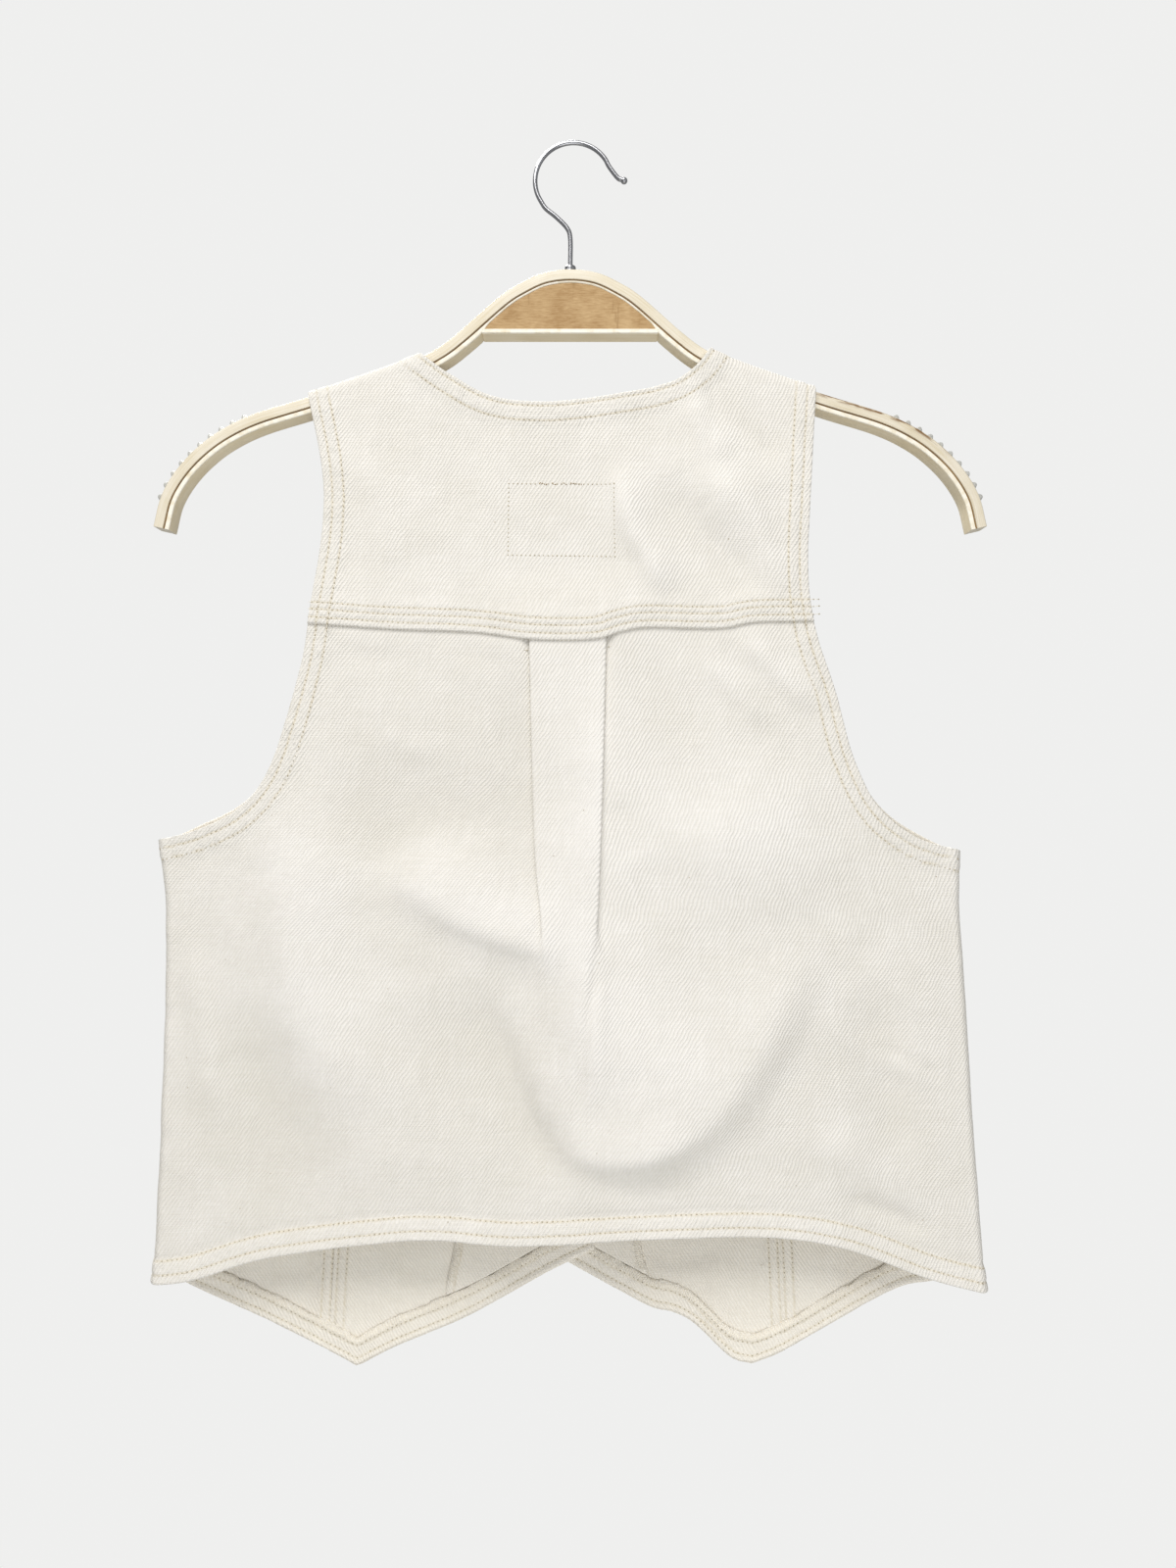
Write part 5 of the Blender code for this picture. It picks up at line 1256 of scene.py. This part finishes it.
def makeHemFacing(side, edges):
    hem, way, inset = edges["hem"], edges["way"], fronts["facingInset"]
    start = edges["sideSeam"][-1][0] - way * fronts["facingSide"]
    end = hem[-1][0] + way * inset
    across = graded(abs(end - start), 1.3, plainSteps, plainSteps)
    places = start + across * (end - start)
    hemHeight = heightAt(hem, places)
    ragged = overlock["ragged"] * (0.6 * wobble(places, 2.1, 31) + 0.7 * wobble(places, 7.0, 32))
    foot = np.stack([places, hemHeight + inset], -1)
    head = np.stack([places, hemHeight + fronts["hemFacing"] + ragged], -1)
    down = graded(fronts["hemFacing"] - inset, 1.2, [0, 0.12, 0.4, 0.9, 1.6, 2.4, 3.2], plainSteps)
    near = head[0] + down[:, None] * (foot[0] - head[0])
    far = head[-1] + down[:, None] * (foot[-1] - head[-1])
    flat = patch(head, foot, near, far, across, down)
    edge = np.stack([places, hemHeight + fronts["hemFacing"]], -1)
    piece = {"depth": pressedDepth(side, edge), "out": 1.0, "bands": [
        {"curve": edge, "rows": (overlock["width"],), "width": overlock["width"], "extra": 0.25,
         "pucker": 0.35, "wave": 4.0},
        {"curve": hem, "rows": (fronts["hemRows"][0],), "width": 3.4, "extra": 0.2, "pucker": 0.3,
         "wave": 5.0},
    ]}
    name = side.capitalize()
    made = clothShell("hemFacing" + name, piece, flat, materials=[denim, denimInsideLit])
    wide = [np.stack([places, hemHeight + fronts["hemFacing"] - overlock["reach"]], -1)]
    straight = [np.stack([places, hemHeight + at], -1) for at in
                (fronts["hemFacing"] - overlock["width"], fronts["hemRows"][0] + 0.4)]
    serged = serge("hemFacing" + name, [rowPoints(piece, row[3:-3], side=-1.0) for row in wide], 5, 0.3)
    sewn = sewSeams("hemFacing" + name, [rowPoints(piece, row[3:-3], side=-1.0) for row in straight], 6)
    keepPiece(made, "hem_facing_" + side, sewn + [serged])


def makeFrontFacing(side, edges):
    hem, way = edges["hem"], edges["way"]
    aboveHem = fronts["hemFacing"] + 0.4
    inner = edges["facing"]
    inner = inner[inner[:, 1] > heightAt(hem, inner[:, 0]) + aboveHem]
    inner = np.vstack([(inner[0][0], shoulderAt(inner[0][0]) - form["shoulderRound"]), inner[1:]])
    neckEdge = edges["neckline"] + np.array([way * fronts["facingInset"], 0.0])
    neckEdge = neckEdge[neckEdge[:, 1] < shoulderAt(neckEdge[:, 0]) - form["shoulderRound"]]
    closingX = hem[-1][0] + way * fronts["facingInset"]
    closing = np.array([neckEdge[-1], (closingX, heightAt(hem, closingX) + aboveHem)])
    across = graded(60.0, fronts["pitch"], bandSteps[:9], plainSteps)
    down = graded(470.0, fronts["pitch"])
    head = inner[0] + across[:, None] * (neckEdge[0] - inner[0])
    footX = inner[-1][0] + across * (closingX - inner[-1][0])
    foot = np.stack([footX, heightAt(hem, footX) + aboveHem], -1)
    inner[-1] = foot[0]
    flat = patch(head, foot, along(inner, down), alongTwo(neckEdge, closing, fronts["neckShare"], down),
                 across, down)
    piece = {"depth": pressedDepth(side, inner), "out": 1.0, "bands": [
        {"curve": inner, "rows": (overlock["width"],), "width": overlock["width"], "extra": 0.25,
         "pucker": 0.3, "wave": 5.0}]}
    name = side.capitalize()
    made = clothShell("frontFacing" + name, piece, flat, materials=[denim, denimInsideLit])
    edgeRow = inner[3:-1] - np.array([way * overlock["reach"], 0.0])
    serged = serge("frontFacing" + name, [rowPoints(piece, edgeRow, side=-1.0)], 7, 0.25)
    keepPiece(made, "front_facing_" + side, [serged])


for side in ("left", "right"):
    edges = frontEdges(side)
    makeSideFront(side, edges)
    makeCentreFront(side, edges)
    makeHemFacing(side, edges)
    makeFrontFacing(side, edges)


# the hanger's bent arms: one laminated section along the whole top line

board = {"crestHeight": 7.1, "crestEnd": (46.0, 52.0), "inlay": 6.9, "recess": 0.4, "depth": 12.5,
         "armHeight": 8.4, "birch": 5.2, "groove": 1.0, "grooveDepth": 0.7, "edge": 1.1, "footEdge": 0.6,
         "barTop": -97.8, "barFoot": -100.3, "pitch": 2.0}


def boardSection():
    # across the arm: how far below the top line, how far from the middle plane, and the face's finish
    half, foot, edge, low = 0.5 * board["depth"], board["armHeight"], board["edge"], board["footEdge"]
    start, end = board["birch"], board["birch"] + board["groove"]
    round90 = [math.radians(angle) for angle in (0.0, 22.5, 45.0, 67.5, 90.0)]
    front = [(edge - edge * math.cos(a), half - edge + edge * math.sin(a)) for a in round90]
    front += [(start - 0.05, half), (start + 0.12, half - board["grooveDepth"]),
              (end - 0.12, half - board["grooveDepth"]), (end + 0.05, half)]
    front += [(foot - low + low * math.sin(a), half - low + low * math.cos(a)) for a in round90]
    finish = [0, 0, 0, 0, 0, 0, 1, 1, 2, 2, 2, 2, 2]
    return front, finish


def makeBoard():
    front, finish = boardSection()
    section = front + [(down, -away) for down, away in front[::-1]]
    finishes = finish + [3] + finish[::-1] + [0]
    line = along(boardTop, np.linspace(0.0, 1.0, int(runOf(boardTop)[-1] / board["pitch"])))
    ahead = headings(line)
    inward = np.stack([ahead[:, 1], -ahead[:, 0]], -1)
    run = runOf(line)
    count, around = len(line), len(section)
    points, pattern = [], []
    slim = smoothStep(*board["crestEnd"], np.abs(line[:, 0]))
    for number in range(count):
        foot = board["crestHeight"] + (board["armHeight"] - board["crestHeight"]) * slim[number]
        for down, away in section:
            lowest = down > board["birch"] + board["groove"] + 0.1
            place = line[number] + inward[number] * (down - (board["armHeight"] - foot) * lowest)
            points.append((place[0], -away, place[1]))
            pattern.append((run[number], down + away))
    faces = ringFaces(count, around) + ringCaps(count, around)
    slots = finishes * (count - 1) + [0, 0]
    # the straight bar under the crest
    reach = abs(xAt(offsetCurve(boardTop, 8.2)[boardTop[:, 0] > 0.0], board["barTop"])) + 2.0
    half, edge = 0.5 * board["depth"], 0.5
    ring = [(board["barTop"], half - edge), (board["barTop"] - edge, half), (board["barFoot"] + edge, half),
            (board["barFoot"], half - edge), (board["barFoot"], edge - half),
            (board["barFoot"] + edge, -half), (board["barTop"] - edge, -half), (board["barTop"], edge - half)]
    first = len(points)
    for x in (-reach, reach):
        points += [(x, -away, z) for z, away in ring]
        pattern += [(x, z + away) for z, away in ring]
    for step in range(8):
        after = (step + 1) % 8
        faces.append((first + step, first + after, first + 8 + after, first + 8 + step))
        slots.append(3 if step == 3 else 2)
    faces += [tuple(first + step for step in range(8))[::-1], tuple(first + 8 + step for step in range(8))]
    slots += [2, 2]
    made = linkMesh("hangerBoard", points, faces, [birch, glueLine, enamel, birchUnder])
    layer = made.data.uv_layers.new(name="pattern")
    corners = np.array([corner for face in made.data.polygons for corner in face.vertices])
    layer.data.foreach_set("uv", np.array(pattern)[corners].astype(np.float32).ravel())
    made.data.polygons.foreach_set("material_index", np.array(slots, np.int32))
    made.data.set_sharp_from_angle(angle=math.radians(35.0))
    keepHard(made, "hanger_board")


makeBoard()


# a turned shape: profile rows are radius and height, from the middle of the head round to the back

def turnedShape(name, profile, steps, place, axis, material):
    rows = smoothCurve(profile, 3)
    rows[:, 0] = np.maximum(rows[:, 0], 0.0)
    turns = [2.0 * math.pi * step / steps for step in range(steps)]
    points = []
    for radius, height in rows[1:-1]:
        for turn in turns:
            sideways, other = radius * math.cos(turn), radius * math.sin(turn)
            spot = (sideways, height, other) if axis == "Y" else (sideways, other, height)
            points.append(tuple(np.array(place) + spot))
    faces = ringFaces(len(rows) - 2, steps)
    ends = [rows[0][1], rows[-1][1]]
    for end, first in zip(ends, (0, (len(rows) - 3) * steps)):
        points.append(tuple(np.array(place) + ((0.0, end, 0.0) if axis == "Y" else (0.0, 0.0, end))))
        for step in range(steps):
            after = (step + 1) % steps
            pair = (first + step, first + after) if first else (first + after, first + step)
            faces.append((*pair, len(points) - 1))
    if axis == "Z":
        faces = [face[::-1] for face in faces]
    return linkMesh(name, points, faces, [material])


def makeButtons():
    for number in range(buttons["count"]):
        z = buttons["top"] - number * buttons["pitch"]
        node = "button_" + str(number + 1)
        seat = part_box(node)[0][1] / mm
        made = turnedShape("button" + str(number + 1), buttons["profile"], 48, (buttons["x"], seat, z), "Y",
                           nickel)
        keepHard(made, node)


makeButtons()
print("buttons made")


# the hook: one bent wire with a small ball at its tip

hookForm = {"wire": 1.2, "ring": 20.0, "ringX": 1.7, "around": 20, "ball": 1.75,
            "stem": ((0.0, -73.2), (0.0, -62.0), (0.0, -49.0), (-1.6, -43.4), (-7.2, -37.6), (-12.6, -33.2)),
            "tip": ((24.6, -17.0), (26.8, -18.1))}


def makeHook():
    centre = hookForm["wire"] - hookForm["ring"]
    ring = [(hookForm["ringX"] + hookForm["ring"] * math.cos(math.radians(angle)),
             centre + hookForm["ring"] * math.sin(math.radians(angle))) for angle in range(214, 10, -12)]
    path = smoothCurve([*hookForm["stem"], *ring, *hookForm["tip"]], 8)
    ahead = headings(path)
    # the ball: more rings past the end of the wire, each of its own radius
    radii = [hookForm["wire"]] * len(path)
    ball, wire = hookForm["ball"], hookForm["wire"]
    start = math.acos(wire / ball)
    centreBall = path[-1] + ahead[-1] * ball * math.sin(start)
    for turn in np.linspace(-start + 0.2, 0.5 * math.pi - 0.06, 12):
        path = np.vstack([path, centreBall + ahead[-1] * ball * math.sin(turn)])
        radii.append(ball * math.cos(turn))
        ahead = np.vstack([ahead, ahead[-1]])
    across = np.stack([-ahead[:, 1], ahead[:, 0]], -1)
    points, around = [], hookForm["around"]
    for place, sideways, radius in zip(path, across, radii):
        for step in range(around):
            turn = 2.0 * math.pi * step / around
            out = radius * math.cos(turn)
            points.append((place[0] + sideways[0] * out, radius * math.sin(turn),
                           place[1] + sideways[1] * out))
    faces = ringFaces(len(path), around) + ringCaps(len(path), around)
    made = linkMesh("hookWire", points, faces, [chrome])
    keepHard(made, "hook")
    profile = ((1.56, 3.6), (2.1, 3.62), (2.5, 3.45), (2.8, 3.05), (2.9, 2.5), (2.9, 0.9), (3.0, 0.5),
               (3.3, 0.3), (3.3, 0.0), (1.56, 0.0))
    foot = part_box("hook_ferrule")[0][2] / mm
    collar = turnedShape("hookCollar", ((0.0, 3.58), *profile, (0.0, 0.0)), 40, (0.0, 0.0, foot), "Z", chrome)
    keepHard(collar, "hook_ferrule")


makeHook()
print("hook made")


# the grips: clear strips let into the arms' tops, each with ten soft teeth

grips = {"start": 162.0, "end": 212.5, "width": 6.0, "depth": 1.0, "teeth": 10, "height": 3.3, "perTooth": 12}


def makeGrip(side, way):
    line = boardTop if way > 0.0 else boardTop[::-1]
    out = line[:, 0] * way
    line = line[(out > grips["start"]) & (out < grips["end"])]
    count = grips["teeth"] * grips["perTooth"]
    line = along(line, np.linspace(0.006, 0.994, count + 1))
    ahead = headings(line)
    outward = np.stack([-ahead[:, 1], ahead[:, 0]], -1) * way
    phase = (np.arange(count + 1) % grips["perTooth"]) / grips["perTooth"]
    tooth = np.clip(1.0 - np.abs(phase - 0.5) * 2.9, 0.0, 1.0)
    rise = 0.15 + (grips["height"] - 0.15) * np.sin(0.5 * math.pi * tooth) ** 0.8
    across = np.array([-1.0, -0.97, -0.88, -0.7, -0.4, 0.0, 0.4, 0.7, 0.88, 0.97, 1.0])
    crown = np.sqrt(1.0 - np.abs(across) ** 5)
    points = []
    wide = len(across)
    for place, away, top in zip(line, outward, rise):
        for share, high in zip(across, crown):
            spot = place + away * top * high
            points.append((spot[0], share * 0.5 * grips["width"], spot[1]))
        for share in across[::-1]:
            spot = place - away * grips["depth"]
            points.append((spot[0], share * 0.5 * grips["width"], spot[1]))
    ring = 2 * wide
    faces = ringFaces(count + 1, ring) + ringCaps(count + 1, ring)
    if way < 0.0:
        faces = [face[::-1] for face in faces]
    made = linkMesh("grip" + side.capitalize(), points, faces, [rubber])
    made.data.set_sharp_from_angle(angle=math.radians(50.0))
    keepHard(made, "grip_" + side)


makeGrip("left", -1.0)
makeGrip("right", 1.0)


# the ply inlaid in the crest

def makePly():
    # the ply's bare face, lightly toned by age: fine flecked grain, a few darker scuffs, hardly any shine
    made, tree, shader = startMaterial("bare beech ply")
    place = addNode(tree, "ShaderNodeTexCoord").outputs["Object"]
    stretched = addNode(tree, "ShaderNodeVectorMath", {0: place, 1: (260.0, 900.0, 1500.0)},
                        operation="MULTIPLY")
    grain = addNode(tree, "ShaderNodeTexNoise", {"Vector": stretched.outputs[0], "Scale": 1.0, "Detail": 4.0,
                                                 "Roughness": 0.65}).outputs["Fac"]
    cloud = addNode(tree, "ShaderNodeTexNoise",
                    {"Vector": place, "Scale": 90.0, "Detail": 3.0}).outputs["Fac"]
    both = addNode(tree, "ShaderNodeMath", {0: cloud, 1: 0.8, 2: grain}, operation="MULTIPLY_ADD").outputs[0]
    share = addNode(tree, "ShaderNodeMapRange",
                    {"Value": both, "From Min": 0.65, "From Max": 1.15}).outputs[0]
    toned = addNode(tree, "ShaderNodeMix", {0: share, 6: hexColour("c2a375"), 7: hexColour("9e7a49")},
                    data_type="RGBA").outputs[2]
    turned45 = addNode(tree, "ShaderNodeMapping", {"Vector": place, "Rotation": (0.0, 0.9, 0.0),
                                                   "Scale": (260.0, 90.0, 60.0)}).outputs[0]
    scuffs = addNode(tree, "ShaderNodeTexNoise",
                     {"Vector": turned45, "Scale": 1.0, "Detail": 2.0}).outputs["Fac"]
    scuffed = addNode(tree, "ShaderNodeMapRange", {"Value": scuffs, "From Min": 0.64, "From Max": 0.72,
                                                   "To Max": 0.6}).outputs[0]
    colour = addNode(tree, "ShaderNodeMix", {0: scuffed, 6: toned, 7: hexColour("8f6c3c")}, data_type="RGBA")
    tree.links.new(colour.outputs[2], shader.inputs["Base Color"])
    bump = addNode(tree, "ShaderNodeBump", {"Height": grain, "Strength": 0.3, "Distance": 0.0002})
    tree.links.new(bump.outputs[0], shader.inputs["Normal"])
    shader.inputs["Roughness"].default_value = 0.62
    return made


def makeCrest():
    arch = offsetCurve(boardTop, board["inlay"])
    foot = board["barTop"] - 0.3
    arch = arch[arch[:, 1] > foot]
    inner = offsetCurve(arch, 0.8)
    half = 0.5 * board["depth"] - board["recess"]
    middle = 0.5 * (arch[0] + arch[-1])
    points, faces = [], []
    count = len(arch)
    for shape, y in ((arch, -half + 0.25), (inner, -half), (inner, half), (arch, half - 0.25)):
        points += [(x, y, max(z, foot)) for x, z in shape]
    for ring in range(3):
        for step in range(count - 1):
            first = ring * count + step
            faces.append((first, first + 1, first + count + 1, first + count))
    for ring, flip in ((1, False), (2, True)):
        points.append((middle[0], -half if ring == 1 else half, foot))
        for step in range(count - 1):
            first = ring * count + step
            face = (first, first + 1, len(points) - 1)
            faces.append(face if flip else face[::-1])
    made = linkMesh("crestPanel", points, faces, [makePly()], smooth=False)
    keepHard(made, "crest_panel")


makeCrest()
print("crest panel made")
